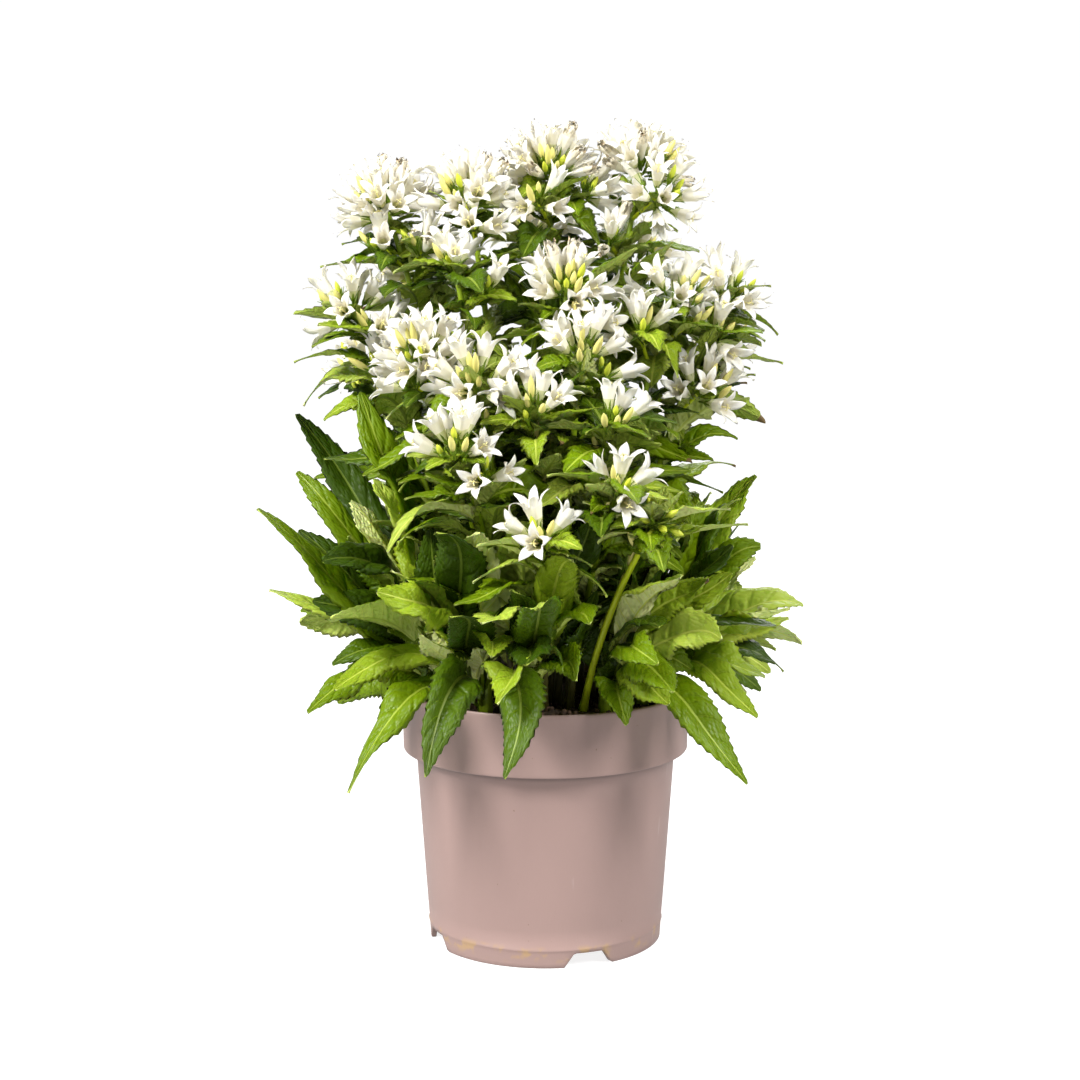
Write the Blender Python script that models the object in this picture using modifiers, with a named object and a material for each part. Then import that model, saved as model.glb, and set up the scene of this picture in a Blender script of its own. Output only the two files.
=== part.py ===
"""White clustered bellflower (Campanula glomerata) in a nursery pot, as a Blender model.

Metres, +Z up. The origin is the middle of the pot's underside, and -Y is the side the plant shows best.
Every stem stands on the compost, and carries a mass: its own upper stem with leaves and blossom fused on.
Basal leaves stand round the stems in masses of their own, each on a short crown.
"""

import math
import random

import bmesh
import bpy
from mathutils import Matrix, Vector
from mathutils.bvhtree import BVHTree

MM = 0.001
GAP = 0.3 * MM  # clear space between neighbouring pieces
SEED = 20

# Pot
POT_STEPS = 48
POT_HEIGHT = 170 * MM
RIM_RADIUS = 95 * MM
RIM_HEIGHT = 41 * MM
RIM_WALL = 2.2 * MM
LIP = 1.2 * MM
BODY_TOP_RADIUS = 86 * MM
BASE_RADIUS = 77 * MM
BODY_WALL = 2.0 * MM
LEDGE = 2.0 * MM
FOOT_HEIGHT = 10 * MM
FOOT_WIDTH = 3.2 * MM
FLOOR = 2.0 * MM
BASE_STEP = 0.5 * MM  # the moulded line round the pot, just over its foot
BASE_STEP_HEIGHT = 11.5 * MM
NOTCHES = 4
FIRST_NOTCH = math.radians(-68.7)
NOTCH_WIDTH = 33 * MM
NOTCH_TOP_WIDTH = 20 * MM

# Compost
COMPOST_TOP = 161 * MM

# Stems: the share of a head's distance from the pot's axis at which its stem stands, and how it bows out
FOOT_SHARE = 0.36
BOW_OUT = 0.28
BOW_UP = 0.55
STEM_RADIUS = 2.5 * MM
STEM_TIP_RADIUS = 1.7 * MM
ROOT_FLARE = 1.5
FLARE_HEIGHT = 9 * MM
STEM_POINTS = 4
MASS_START = 0.32  # share of the stem's length where its mass takes over
TWIG_RADIUS = 1.3 * MM

# Blossom
BELL_LENGTH = 25 * MM
BELL_REACH = 13.5 * MM
BELL_MOUTH = 7 * MM
BELL_LOBES = 5
LOBE_START = 0.7  # share of the bell's length where its lobes part
THROAT = 0.57  # share of its length that its hollow reaches down to
HEAD_CORE = 8.5 * MM
SPRAY_CORE = 4.5 * MM
CORE_DEPTH = 0.45  # a blossom's base stands this share of the core's radius from its centre
CLEAR_SHARE = 0.4  # blossoms and leaves of one mass may meet over this share of their length from the root
LARGE_HEAD = 8  # blossoms, over which a head reaches right round
SMALL_HEAD = 5  # blossoms, up to which it has a spray's small core
HEAD_SPREAD = math.radians(112)  # how far round from straight up the blossoms of a head reach
SPRAY_SPREAD = math.radians(75)
BELL_SHARE = 0.44  # blossoms kept, each a little larger than life
BELL_GROWTH = 1.18
SMALLER_BELLS = (1.0, 0.85, 0.7)  # sizes tried in turn where one would touch its neighbours
SPRAY_RISE = 0.75  # height over run of a spray's twig
GOLDEN_ANGLE = math.pi * (3 - math.sqrt(5))

# Leaves
LEAF_THICKNESS = 0.016  # of its length
LEAF_FOLD = 0.28  # how far the two halves rise from the midrib, as a share of the half width
BLADE_WIDTHS = (0.5, 0.37)  # half widths at the blade's belly and near its tip, as shares of its width
STEM_LEAF_LENGTH = 68 * MM
STEM_LEAF_WIDTH = 27 * MM
STEM_LEAF_PETIOLE = 1.3 * MM  # half width at the root
STEM_LEAF_RUN = (0.45, 0.55)  # shares of its length from root to belly and on to its tip
STEM_LEAVES = 5
TOP_LEAF = 0.95  # share of the stem's length where the last leaf grows
OUTLINE_LEAF_WIDTH = 19 * MM
STEM_LEAF_SHIFTS = ((0, 1), (0.35, 0.95), (-0.35, 0.95), (0.7, 0.85), (-0.7, 0.85), (0, 0.65), (1.2, 0.7))
BASAL_PETIOLE = 1.8 * MM
BASAL_RUN = (0, 0.46, 0.75, 1)
BASAL_SHIFTS = ((0, 1, 0), (0.1, 1, 0), (-0.1, 1, 0), (0.2, 0.95, 6), (-0.2, 0.95, 12), (0, 0.85, 18))
LOW_TIP = 120 * MM  # a leaf whose tip is this low grows from its crown's foot
HIGH_TIP = 360 * MM  # and one whose tip is this high from its crown's top
CROWN_RADIUS = 4.5 * MM
CROWN_HEIGHT = 26 * MM
ROOT_ASIDE = 0.4  # a leaf's root stands this share of the crown's radius off its axis
LOWEST_ROOT = 0.15  # share of the crown's height where its lowest leaf grows
ROOT_SPAN = 0.7  # and the share from there to its highest
CROWN_RING = 66 * MM
BASAL_MASSES = 10
BASAL_LEAVES_PER_MASS = 7

# name: (head centre x, y, z in mm, blossoms in the head, sprays below it).
# A spray is (drop below the head in mm, azimuth in degrees, reach in mm, blossoms).
STEMS = {
    "left_tall": ((-103, 18, 480), 15, ((40, -140, 22, 3), (42, -50, 22, 3))),
    "left_middle_tall": ((-49, 10, 486), 13, ((30, -95, 20, 3),)),
    "centre_tall": ((3, 30, 504), 16, ((36, -110, 24, 4), (30, 0, 26, 4))),
    "right_tall": ((62, 32, 506), 14, ((34, -40, 24, 8), (66, -120, 24, 2))),
    "left_outer": ((-124, 0, 416), 9, ((26, -70, 18, 3), (50, -100, 16, 3))),
    "left_small": ((-58, -26, 446), 4, ((32, -20, 20, 4),)),
    "centre_front_tall": ((13, -30, 430), 18, ((34, -60, 24, 4),)),
    "right_middle": ((82, 0, 424), 9, ((50, -105, 44, 5), (34, -20, 22, 3))),
    "right_outer": ((116, 20, 424), 8, ((40, -60, 20, 4), (82, -50, 24, 6))),
    "left_front": ((-76, -58, 388), 13, ((30, -150, 20, 3),)),
    "left_middle_front": ((-42, -84, 374), 9, ((34, -80, 16, 2),)),
    "centre_middle_front": ((22, -62, 390), 7, ((26, -30, 20, 3),)),
    "centre_front": ((-7, -103, 358), 7, ()),
    "right_front": ((38, -102, 350), 6, ()),
    "right_low": ((42, -132, 314), 4, ()),
    "centre_low": ((-2, -146, 288), 2, ()),
    "left_low": ((-52, -124, 336), 4, ((28, -60, 18, 3),)),
    "bud_shoot": ((66, -134, 296), 0, ()),
    "back_left": ((-82, 84, 440), 12, ((32, 120, 22, 4),)),
    "back_centre": ((-10, 96, 462), 14, ((34, 80, 22, 4),)),
    "back_right": ((62, 90, 446), 12, ((36, 60, 22, 4),)),
    "back_far_right": ((114, 74, 388), 8, ((30, 20, 18, 3),)),
    "back_low": ((18, 144, 352), 7, ((30, 100, 18, 3),)),
    "back_far_left": ((-120, 78, 372), 8, ((30, 170, 18, 3),)),
}

# The stem leaves that draw the outline: (stem, drop below the head in mm, azimuth, length in mm, rise, bend).
OUTLINE_STEM_LEAVES = (
    ("left_outer", 42, 188, 60, 24, 30),
    ("right_outer", 52, -14, 62, 18, 20),
    ("left_tall", 40, 190, 56, 8, 10),
    ("left_middle_tall", 58, -140, 58, 10, 20),
    ("right_tall", 64, -150, 56, -5, -10),
    ("right_outer", 26, 20, 44, 20, 30),
)

# The basal leaves that draw the outline: (azimuth in degrees, reach, tip height, width in mm, arch, roll).
# Arch is how far the leaf's middle rises over a straight line, as a share of its length.
OUTLINE_LEAVES = (
    (-155, 197, 299, 26, -0.02, 0.9),
    (-163, 184, 243, 18, 0.05, 0.6),
    (-146, 196, 233, 30, 0.12, 0.3),
    (-169, 162, 278, 24, 0.02, 0.8),
    (-147, 165, 267, 26, 0.22, 0.0),
    (-180, 163, 312, 20, 0.06, 0.7),
    (173, 166, 348, 24, 0.04, 0.9),
    (-166, 122, 367, 32, 0.05, 1.1),
    (-149, 174, 171, 24, 0.22, 0.1),
    (-133, 178, 130, 26, 0.32, 0.2),
    (-115, 170, 146, 30, 0.34, 0.0),
    (-99, 160, 146, 28, 0.36, -0.1),
    (-126, 172, 256, 32, 0.14, 0.2),
    (-116, 150, 290, 30, 0.16, -0.3),
    (-104, 158, 240, 34, 0.20, -0.2),
    (-112, 128, 305, 26, 0.14, 0.3),
    (-90, 152, 276, 28, 0.14, 0.4),
    (-84, 132, 296, 24, 0.12, -0.3),
    (-80, 148, 238, 28, 0.20, 0.1),
    (-96, 120, 232, 30, 0.26, 0.2),
    (-72, 122, 262, 30, 0.20, -0.2),
    (-62, 162, 196, 26, 0.20, 0.2),
    (-42, 168, 131, 28, 0.28, 0.1),
    (-49, 162, 224, 28, 0.16, 0.2),
    (-41, 142, 258, 24, 0.10, 0.6),
    (-20, 150, 186, 26, 0.20, 0.4),
    (-17, 144, 269, 26, 0.14, 0.1),
    (-4, 160, 217, 26, 0.10, 0.7),
    (16, 183, 188, 24, 0.16, 0.2),
    (7, 157, 231, 20, 0.06, 0.7),
    (12, 144, 306, 26, 0.06, 0.9),
)
# The seeded basal leaves, in turn: (reach, tip height in mm, arch)
BASAL_LAYERS = (
    (150, 150, 0.34),
    (165, 205, 0.20),
    (150, 262, 0.14),
    (112, 300, 0.10),
    (140, 172, 0.28),
    (172, 240, 0.14),
    (132, 284, 0.12),
    (160, 184, 0.24),
)

COLOURS = {
    "pot": ((0.42, 0.33, 0.31), 0.55),
    "compost": ((0.035, 0.022, 0.014), 0.95),
    "stem": ((0.24, 0.42, 0.05), 0.5),
    "blossom": ((0.90, 0.89, 0.85), 0.6),
    "leaf": ((0.10, 0.24, 0.03), 0.5),
}


# ---------------------------------------------------------------- scene


def clear_scene():
    for obj in list(bpy.data.objects):
        bpy.data.objects.remove(obj, do_unlink=True)


def new_collection(name, hidden=False):
    collection = bpy.data.collections.new(name)
    bpy.context.scene.collection.children.link(collection)
    collection.hide_render = hidden
    return collection


def material(name):
    found = bpy.data.materials.get(name)
    if found:
        return found
    colour, roughness = COLOURS[name]
    made = bpy.data.materials.new(name)
    made.use_nodes = True
    shader = made.node_tree.nodes["Principled BSDF"]
    shader.inputs["Base Color"].default_value = (*colour, 1)
    shader.inputs["Roughness"].default_value = roughness
    shader.inputs["Metallic"].default_value = 0
    return made


def mesh_object(name, points, faces, collection):
    mesh = bpy.data.meshes.new(name)
    mesh.from_pydata([tuple(p) for p in points], [], faces)
    mesh.update()
    obj = bpy.data.objects.new(name, mesh)
    collection.objects.link(obj)
    return obj


def dress(obj, name):
    obj.data.materials.clear()
    obj.data.materials.append(material(name))


# ---------------------------------------------------------------- pot and compost


def turned(name, profile, steps, collection):
    """A solid of revolution from a profile of (radius, height) points that runs down its outer side."""
    mesh = bpy.data.meshes.new(name)
    points = [(radius, 0, height) for radius, height in profile]
    mesh.from_pydata(points, [(i, i + 1) for i in range(len(points) - 1)], [])
    obj = bpy.data.objects.new(name, mesh)
    collection.objects.link(obj)
    screw = obj.modifiers.new("Turn", "SCREW")
    screw.steps = steps
    screw.render_steps = steps
    screw.use_merge_vertices = True
    screw.merge_threshold = 0.05 * MM
    screw.use_smooth_shade = True
    return obj


def body_radius(height):
    """Outer radius of the pot's tapered body at a height."""
    share = height / (POT_HEIGHT - RIM_HEIGHT)
    return BASE_RADIUS + (BODY_TOP_RADIUS - BASE_RADIUS) * share


def pot(collection, cutters):
    floor_top = FOOT_HEIGHT + FLOOR
    rim_bottom = POT_HEIGHT - RIM_HEIGHT
    profile = [
        (0, floor_top),
        (body_radius(floor_top) - BODY_WALL, floor_top),
        (BODY_TOP_RADIUS - BODY_WALL, rim_bottom + LEDGE),
        (RIM_RADIUS - RIM_WALL, rim_bottom + LEDGE + RIM_WALL),
        (RIM_RADIUS - RIM_WALL, POT_HEIGHT),
        (RIM_RADIUS - LIP / 2, POT_HEIGHT),
        (RIM_RADIUS, POT_HEIGHT - LIP),
        (RIM_RADIUS - LIP / 2, rim_bottom),
        (BODY_TOP_RADIUS, rim_bottom),
        (body_radius(BASE_STEP_HEIGHT) + BASE_STEP, BASE_STEP_HEIGHT + BASE_STEP),
        (body_radius(BASE_STEP_HEIGHT), BASE_STEP_HEIGHT),
        (BASE_RADIUS, 0),
        (BASE_RADIUS - FOOT_WIDTH, 0),
        (BASE_RADIUS - FOOT_WIDTH, FOOT_HEIGHT),
        (0, FOOT_HEIGHT),
    ]
    obj = turned("pot", profile, POT_STEPS, collection)
    for i in range(NOTCHES):
        cut = obj.modifiers.new(f"Notch {i + 1}", "BOOLEAN")
        cut.operation = "DIFFERENCE"
        cut.object = notch_cutter(i, cutters)
    dress(obj, "pot")
    return obj


def notch_cutter(i, cutters):
    """A block with sloping ends, across the foot ring."""
    bm = bmesh.new()
    bmesh.ops.create_cube(bm, size=1)
    depth = 6 * FOOT_WIDTH
    below = 2 * MM
    for vert in bm.verts:
        top = vert.co.z > 0
        width = NOTCH_TOP_WIDTH if top else NOTCH_WIDTH
        vert.co = Vector((vert.co.x * depth, vert.co.y * width, FOOT_HEIGHT - 0.5 * MM if top else -below))
    mesh = bpy.data.meshes.new("notch_cutter")
    bm.to_mesh(mesh)
    bm.free()
    obj = bpy.data.objects.new(f"notch_cutter_{i + 1}", mesh)
    cutters.objects.link(obj)
    angle = FIRST_NOTCH + i * math.tau / NOTCHES
    middle = BASE_RADIUS - FOOT_WIDTH / 2
    obj.location = (middle * math.cos(angle), middle * math.sin(angle), 0)
    obj.rotation_euler = (0, 0, angle)
    obj.hide_render = True
    obj.display_type = "WIRE"
    return obj


def compost(collection):
    floor_top = FOOT_HEIGHT + FLOOR
    ledge_top = POT_HEIGHT - RIM_HEIGHT + LEDGE + RIM_WALL
    rim_inner = RIM_RADIUS - RIM_WALL
    profile = [
        (0, COMPOST_TOP),
        (rim_inner - GAP, COMPOST_TOP),
        (rim_inner - GAP, ledge_top + GAP),
        (BODY_TOP_RADIUS - BODY_WALL - GAP, ledge_top - RIM_WALL + 2 * GAP),
        (body_radius(floor_top) - BODY_WALL - GAP, floor_top + GAP),
        (0, floor_top + GAP),
    ]
    obj = turned("compost", profile, POT_STEPS // 2, collection)
    dress(obj, "compost")
    return obj


# ---------------------------------------------------------------- lofts: stems, leaves, blossom


def bezier(start, control, end, share):
    return start * (1 - share) ** 2 + control * 2 * share * (1 - share) + end * share**2


def stem_point(head, share):
    """A point on the line of the stem whose head is centred there, from its foot (0) to the head (1)."""
    foot = Vector((head.x * FOOT_SHARE, head.y * FOOT_SHARE, COMPOST_TOP + GAP))
    control = foot.copy()
    control.x += (head.x - foot.x) * BOW_OUT
    control.y += (head.y - foot.y) * BOW_OUT
    control.z += (head.z - foot.z) * BOW_UP
    return bezier(foot, control, head, share)


def stem_radius(share):
    return STEM_RADIUS + (STEM_TIP_RADIUS - STEM_RADIUS) * share


def tube(name, points, radii, collection, sides=6):
    """A tapering tube along points, as a curve with filled caps. Sides are even."""
    curve = bpy.data.curves.new(name, "CURVE")
    curve.dimensions = "3D"
    curve.bevel_depth = 1
    curve.bevel_resolution = sides // 2 - 2
    curve.use_fill_caps = True
    spline = curve.splines.new("POLY")
    spline.points.add(len(points) - 1)
    for knot, point, radius in zip(spline.points, points, radii):
        knot.co = (*point, 1)
        knot.radius = radius
    obj = bpy.data.objects.new(name, curve)
    collection.objects.link(obj)
    return obj


def as_mesh(curve_object, collection):
    """The curve's solid as a mesh object of the same name, its caps welded. The curve is removed."""
    bpy.context.view_layer.update()
    graph = bpy.context.evaluated_depsgraph_get()
    mesh = bpy.data.meshes.new_from_object(curve_object.evaluated_get(graph))
    bm = bmesh.new()
    bm.from_mesh(mesh)
    bmesh.ops.remove_doubles(bm, verts=bm.verts, dist=0.01 * MM)
    bmesh.ops.recalc_face_normals(bm, faces=bm.faces)
    bm.to_mesh(mesh)
    bm.free()
    mesh.shade_smooth()
    name = curve_object.name
    matrix = curve_object.matrix_world.copy()
    bpy.data.objects.remove(curve_object, do_unlink=True)
    obj = bpy.data.objects.new(name, mesh)
    obj.matrix_world = matrix
    collection.objects.link(obj)
    return obj


def limb(name, head, collection):
    """The bare lower stem, from a flat cut and a root flare on the compost to where its mass starts."""
    shares = [MASS_START * i / (STEM_POINTS - 1) for i in range(STEM_POINTS)]
    points = [stem_point(head, share) for share in shares]
    radii = [stem_radius(share) for share in shares]
    points.insert(1, points[0] + Vector((0, 0, FLARE_HEIGHT)))
    radii.insert(1, radii[0])
    radii[0] *= ROOT_FLARE
    obj = as_mesh(tube(name, points, radii, collection), collection)
    dress(obj, "stem")
    return obj


def loft(rings, end_point):
    """Points and faces of a solid from a flat cap, through rings of equal count, to a point."""
    count = len(rings[0])
    points = [p for ring in rings for p in ring] + [end_point]
    faces = [tuple(reversed(range(count)))]
    for r in range(len(rings) - 1):
        low, high = r * count, (r + 1) * count
        for i in range(count):
            j = (i + 1) % count
            faces.append((low + i, low + j, high + j, high + i))
    last = (len(rings) - 1) * count
    faces += [(last + i, last + (i + 1) % count, len(points) - 1) for i in range(count)]
    return points, faces


def frame_along(direction, roll):
    """Side and upper vectors square to a leaf's run, turned about it by roll."""
    side = direction.cross(Vector((0, 0, 1)))
    if side.length < 1e-4:
        side = Vector((1, 0, 0))
    side.normalize()
    side.rotate(Matrix.Rotation(roll, 3, direction))
    return side, side.cross(direction).normalized()


def leaf_shape(line, width, petiole, roll, grow=0.0, rooted=True):
    """Points and faces of a folded blade along a line of root, belly, shoulder (if it has one) and tip.

    Petiole is the half width at the root. For the test of clear space grow fattens the blade, and a shape
    that isn't rooted starts further out.
    """
    length = sum((b - a).length for a, b in zip(line, line[1:]))
    thick = LEAF_THICKNESS * length / 2 + grow
    halves = [petiole] + [share * width for share in BLADE_WIDTHS[: len(line) - 2]]
    rings = []
    for i, half in enumerate(halves):
        centre = line[i] if i or rooted else line[0].lerp(line[1], CLEAR_SHARE)
        direction = (line[i + 1] - line[max(i - 1, 0)]).normalized()
        side, upper = frame_along(direction, roll)
        rise = upper * (half + grow) * LEAF_FOLD
        rings.append([
            centre + side * (half + grow) + rise,
            centre - upper * thick,
            centre - side * (half + grow) + rise,
            centre + upper * thick,
        ])
    tip = line[-1] + (line[-1] - line[-2]).normalized() * grow
    return loft(rings, tip)


def bell_shape(base, direction, size, turn, grow=0.0, rooted=True):
    """Points and faces of one blossom: a five-sided funnel, five pointed lobes and a hollow mouth."""
    length = BELL_LENGTH * size + grow
    side = direction.orthogonal().normalized()
    other = direction.cross(side)
    lobes = []
    gaps = []
    for i in range(BELL_LOBES):
        angles = (turn + i * math.tau / BELL_LOBES, turn + (i + 0.5) * math.tau / BELL_LOBES)
        outs = [side * math.cos(angle) + other * math.sin(angle) for angle in angles]
        lobes.append(base + direction * length + outs[0] * (BELL_REACH * size + grow))
        gaps.append(base + direction * length * LOBE_START + outs[1] * (BELL_MOUTH * size + grow))
    throat = base + direction * length * THROAT
    start = base if rooted else base + direction * length * CLEAR_SHARE
    points = [*lobes, *gaps, throat, start]
    faces = []
    for i in range(BELL_LOBES):
        before = BELL_LOBES + (i - 1) % BELL_LOBES
        after = BELL_LOBES + i
        faces.append((2 * BELL_LOBES + 1, after, before))
        faces.append((before, after, i))
        faces.append((2 * BELL_LOBES, before, i))
        faces.append((2 * BELL_LOBES, i, after))
    return points, faces


# ---------------------------------------------------------------- masses


class Mass:
    """One node of foliage or blossom: pieces grown on one stem, then joined into one solid."""

    def __init__(self, name, finish, collection):
        self.name = name
        self.finish = finish
        self.collection = collection
        self.pieces = bpy.data.collections.new(name + "_pieces")
        bpy.context.scene.collection.children.link(self.pieces)
        self.stem = None

    def add(self, points, faces):
        mesh_object(f"{self.name}_piece", points, faces, self.pieces)

    def join(self):
        """One Boolean union of the stem with every piece grown on it."""
        union = self.stem.modifiers.new("Join", "BOOLEAN")
        union.operation = "UNION"
        union.operand_type = "COLLECTION"
        union.collection = self.pieces
        union.solver = "EXACT"
        bpy.context.view_layer.update()
        graph = bpy.context.evaluated_depsgraph_get()
        joined = bpy.data.meshes.new_from_object(self.stem.evaluated_get(graph))
        joined.name = self.name
        keep_one_body(joined)
        self.stem.modifiers.clear()
        self.stem.data = joined
        for piece in list(self.pieces.objects):
            bpy.data.objects.remove(piece, do_unlink=True)
        bpy.data.collections.remove(self.pieces)
        dress(self.stem, self.finish)


def shell_volume(faces):
    """Six times the volume inside a shell: negative where the shell lines a sealed hollow."""
    total = 0.0
    for face in faces:
        first = face.verts[0].co
        for a, b in zip(face.verts[1:], face.verts[2:]):
            total += first.dot(a.co.cross(b.co))
    return total


def keep_one_body(mesh):
    """Fills the sealed hollows that leaves close between them, by dropping every shell but the outer one."""
    bm = bmesh.new()
    bm.from_mesh(mesh)
    waiting = set(bm.faces)
    shells = []
    while waiting:
        shell = []
        edge_of_shell = [waiting.pop()]
        while edge_of_shell:
            face = edge_of_shell.pop()
            shell.append(face)
            for edge in face.edges:
                for other in edge.link_faces:
                    if other in waiting:
                        waiting.remove(other)
                        edge_of_shell.append(other)
        shells.append(shell)
    outer = max(shells, key=shell_volume)
    spare = [face for shell in shells if shell is not outer for face in shell]
    bmesh.ops.delete(bm, geom=spare, context="FACES")
    bm.to_mesh(mesh)
    bm.free()


class Space:
    """What stands where, so that a leaf or blossom which would touch another node is moved or left out."""

    def __init__(self):
        self.taken = []

    def take(self, owner, points, faces, ground=False):
        """Ground is what a mass's own pieces grow from: they may run into it."""
        low = [min(p[i] for p in points) for i in range(3)]
        high = [max(p[i] for p in points) for i in range(3)]
        self.taken.append((owner, ground, low, high, BVHTree.FromPolygons(points, faces)))

    def take_object(self, owner, obj):
        bpy.context.view_layer.update()
        mesh = obj.evaluated_get(bpy.context.evaluated_depsgraph_get()).to_mesh()
        points = [obj.matrix_world @ v.co for v in mesh.vertices]
        self.take(owner, points, [tuple(f.vertices) for f in mesh.polygons], ground=True)

    def is_clear(self, owner, points, faces, own=False):
        """Whether a shape touches no other node or, with own, no other leaf or blossom of its own mass."""
        low = [min(p[i] for p in points) for i in range(3)]
        high = [max(p[i] for p in points) for i in range(3)]
        tree = None
        for other, ground, other_low, other_high, other_tree in self.taken:
            if (other == owner) != own or (own and ground):
                continue
            if any(low[i] > other_high[i] or high[i] < other_low[i] for i in range(3)):
                continue
            tree = tree or BVHTree.FromPolygons(points, faces)
            if tree.overlap(other_tree):
                return False
        return True


def grow(mass, space, shape, tries):
    """Adds the first try that stands clear of every other node. Each try is a set of arguments for shape."""
    for arguments in tries:
        swollen = shape(*arguments, grow=2 * GAP)
        outer = shape(*arguments, rooted=False)
        if space.is_clear(mass.name, *swollen) and space.is_clear(mass.name, *outer, own=True):
            points, faces = shape(*arguments)
            mass.add(points, faces)
            space.take(mass.name, points, faces)
            return True
    return False


def start_mass(name, finish, points, radii, collection, space):
    mass = Mass(name, finish, collection)
    mass.stem = as_mesh(tube(name, points, radii, collection), collection)
    space.take_object(name, mass.stem)
    return mass


def add_ball(mass, space, centre, radius):
    """The small core that a head's blossoms stand out of."""
    bm = bmesh.new()
    bmesh.ops.create_icosphere(bm, subdivisions=1, radius=radius, matrix=Matrix.Translation(centre))
    points = [v.co.copy() for v in bm.verts]
    faces = [tuple(v.index for v in f.verts) for f in bm.faces]
    bm.free()
    if not space.is_clear(mass.name, points, faces):
        return False
    mass.add(points, faces)
    space.take(mass.name, points, faces, ground=True)
    return True


def round_directions(count, spread, axis, rng):
    """Directions spread evenly over the cap of a sphere round axis, by the golden angle."""
    side = axis.orthogonal().normalized()
    other = axis.cross(side)
    turn = rng.uniform(0, math.tau)
    for i in range(count):
        cosine = 1 - (1 - math.cos(spread)) * (i + 0.5) / count
        sine = math.sqrt(1 - cosine * cosine)
        angle = turn + i * GOLDEN_ANGLE
        yield (axis * cosine + (side * math.cos(angle) + other * math.sin(angle)) * sine).normalized()


def add_blossoms(mass, space, centre, radius, count, spread, axis, rng):
    shown = max(2, round(count * BELL_SHARE))
    for direction in round_directions(shown, spread, axis, rng):
        base = centre + direction * radius * CORE_DEPTH
        turn = rng.uniform(0, math.tau)
        tries = [(base, direction, BELL_GROWTH * size, turn) for size in SMALLER_BELLS]
        grow(mass, space, bell_shape, tries)


def bent_line(root, azimuth, rise, length, bend):
    """A leaf's line from its root: out along azimuth at an angle of rise, bending down by bend."""
    line = [root.copy()]
    for share in STEM_LEAF_RUN:
        angle = rise - bend * (len(line) - 1)
        step = Vector((math.cos(azimuth), math.sin(azimuth), math.tan(angle))).normalized()
        line.append(line[-1] + step * length * share)
    return line


def add_stem_leaf(mass, space, root, azimuth, length, width, rise, bend, roll):
    tries = []
    for turn, size in STEM_LEAF_SHIFTS:
        line = bent_line(root, azimuth + turn, rise, length * size, bend)
        tries.append((line, width * size, STEM_LEAF_PETIOLE, roll))
    return grow(mass, space, leaf_shape, tries)


def flowering_mass(stem_name, collection, space):
    """The upper stem of one shoot and its head's core, ready for leaves and blossom."""
    place, blossoms, _ = STEMS[stem_name]
    centre = Vector(place) * MM
    shares = [MASS_START + (1 - MASS_START) * i / (STEM_POINTS - 1) for i in range(STEM_POINTS)]
    points = [stem_point(centre, share) for share in shares]
    points[0] += (points[1] - points[0]).normalized() * GAP
    radii = [stem_radius(share) for share in shares]
    mass = start_mass("shoot_" + stem_name, "blossom", points, radii, collection, space)
    if blossoms:
        add_ball(mass, space, centre, head_core(blossoms))
    return mass


def head_core(blossoms):
    return HEAD_CORE if blossoms > SMALL_HEAD else SPRAY_CORE


def fill_with_blossom(mass, stem_name, space, rng):
    place, count, sprays = STEMS[stem_name]
    centre = Vector(place) * MM
    lean = (stem_point(centre, 1) - stem_point(centre, 0.9)).normalized()
    if count:
        spread = HEAD_SPREAD if count > LARGE_HEAD else SPRAY_SPREAD
        add_blossoms(mass, space, centre, head_core(count), count, spread, lean, rng)
    for drop, azimuth, reach, blossoms in sprays:
        share = 1 - drop * MM / (centre.z - COMPOST_TOP)
        root = stem_point(centre, share)
        angle = math.radians(azimuth)
        out = Vector((math.cos(angle), math.sin(angle), SPRAY_RISE)).normalized()
        end = root + out * reach * MM
        if not add_ball(mass, space, end, SPRAY_CORE):
            continue
        radii = [TWIG_RADIUS, TWIG_RADIUS]
        twig = as_mesh(tube("twig", [root, end], radii, mass.pieces, sides=4), mass.pieces)
        space.take_object(mass.name, twig)
        add_blossoms(mass, space, end, SPRAY_CORE, blossoms, SPRAY_SPREAD, out, rng)


def fill_with_leaves(mass, stem_name, space, rng):
    """Leaves up the stem by the golden angle, smaller towards the head."""
    centre = Vector(STEMS[stem_name][0]) * MM
    turn = rng.uniform(0, math.tau)
    for i in range(STEM_LEAVES):
        along = (i + 0.4) / STEM_LEAVES
        share = MASS_START + (TOP_LEAF - MASS_START) * along
        root = stem_point(centre, share)
        size = 1.1 - 0.35 * along
        azimuth = turn + i * GOLDEN_ANGLE
        length = STEM_LEAF_LENGTH * size
        width = STEM_LEAF_WIDTH * size
        rise = math.radians(rng.uniform(15, 50))
        bend = math.radians(rng.uniform(15, 45))
        roll = rng.uniform(-0.5, 0.5)
        add_stem_leaf(mass, space, root, azimuth, length, width, rise, bend, roll)


def add_outline_stem_leaves(shoots, space):
    for name, drop, azimuth, length, rise, bend in OUTLINE_STEM_LEAVES:
        centre = Vector(STEMS[name][0]) * MM
        root = stem_point(centre, 1 - drop * MM / (centre.z - COMPOST_TOP))
        angles = (math.radians(rise), math.radians(bend))
        size = (length * MM, OUTLINE_LEAF_WIDTH)
        add_stem_leaf(shoots[name], space, root, math.radians(azimuth), *size, *angles, 0)


def crown_place(i, space):
    """Where the crown of a sector stands on the compost: the first place that is clear of the stems."""
    for ring in (CROWN_RING, CROWN_RING + 6 * MM, CROWN_RING - 6 * MM):
        for turn in (0.5, 0.3, 0.7, 0.15, 0.85):
            angle = (i + turn) * math.tau / BASAL_MASSES
            foot = Vector((ring * math.cos(angle), ring * math.sin(angle), COMPOST_TOP + GAP))
            post = crown_post(foot, CROWN_RADIUS + 2 * GAP)
            if space.is_clear("", *post):
                return foot
    raise RuntimeError(f"no room for crown {i + 1}")


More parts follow.
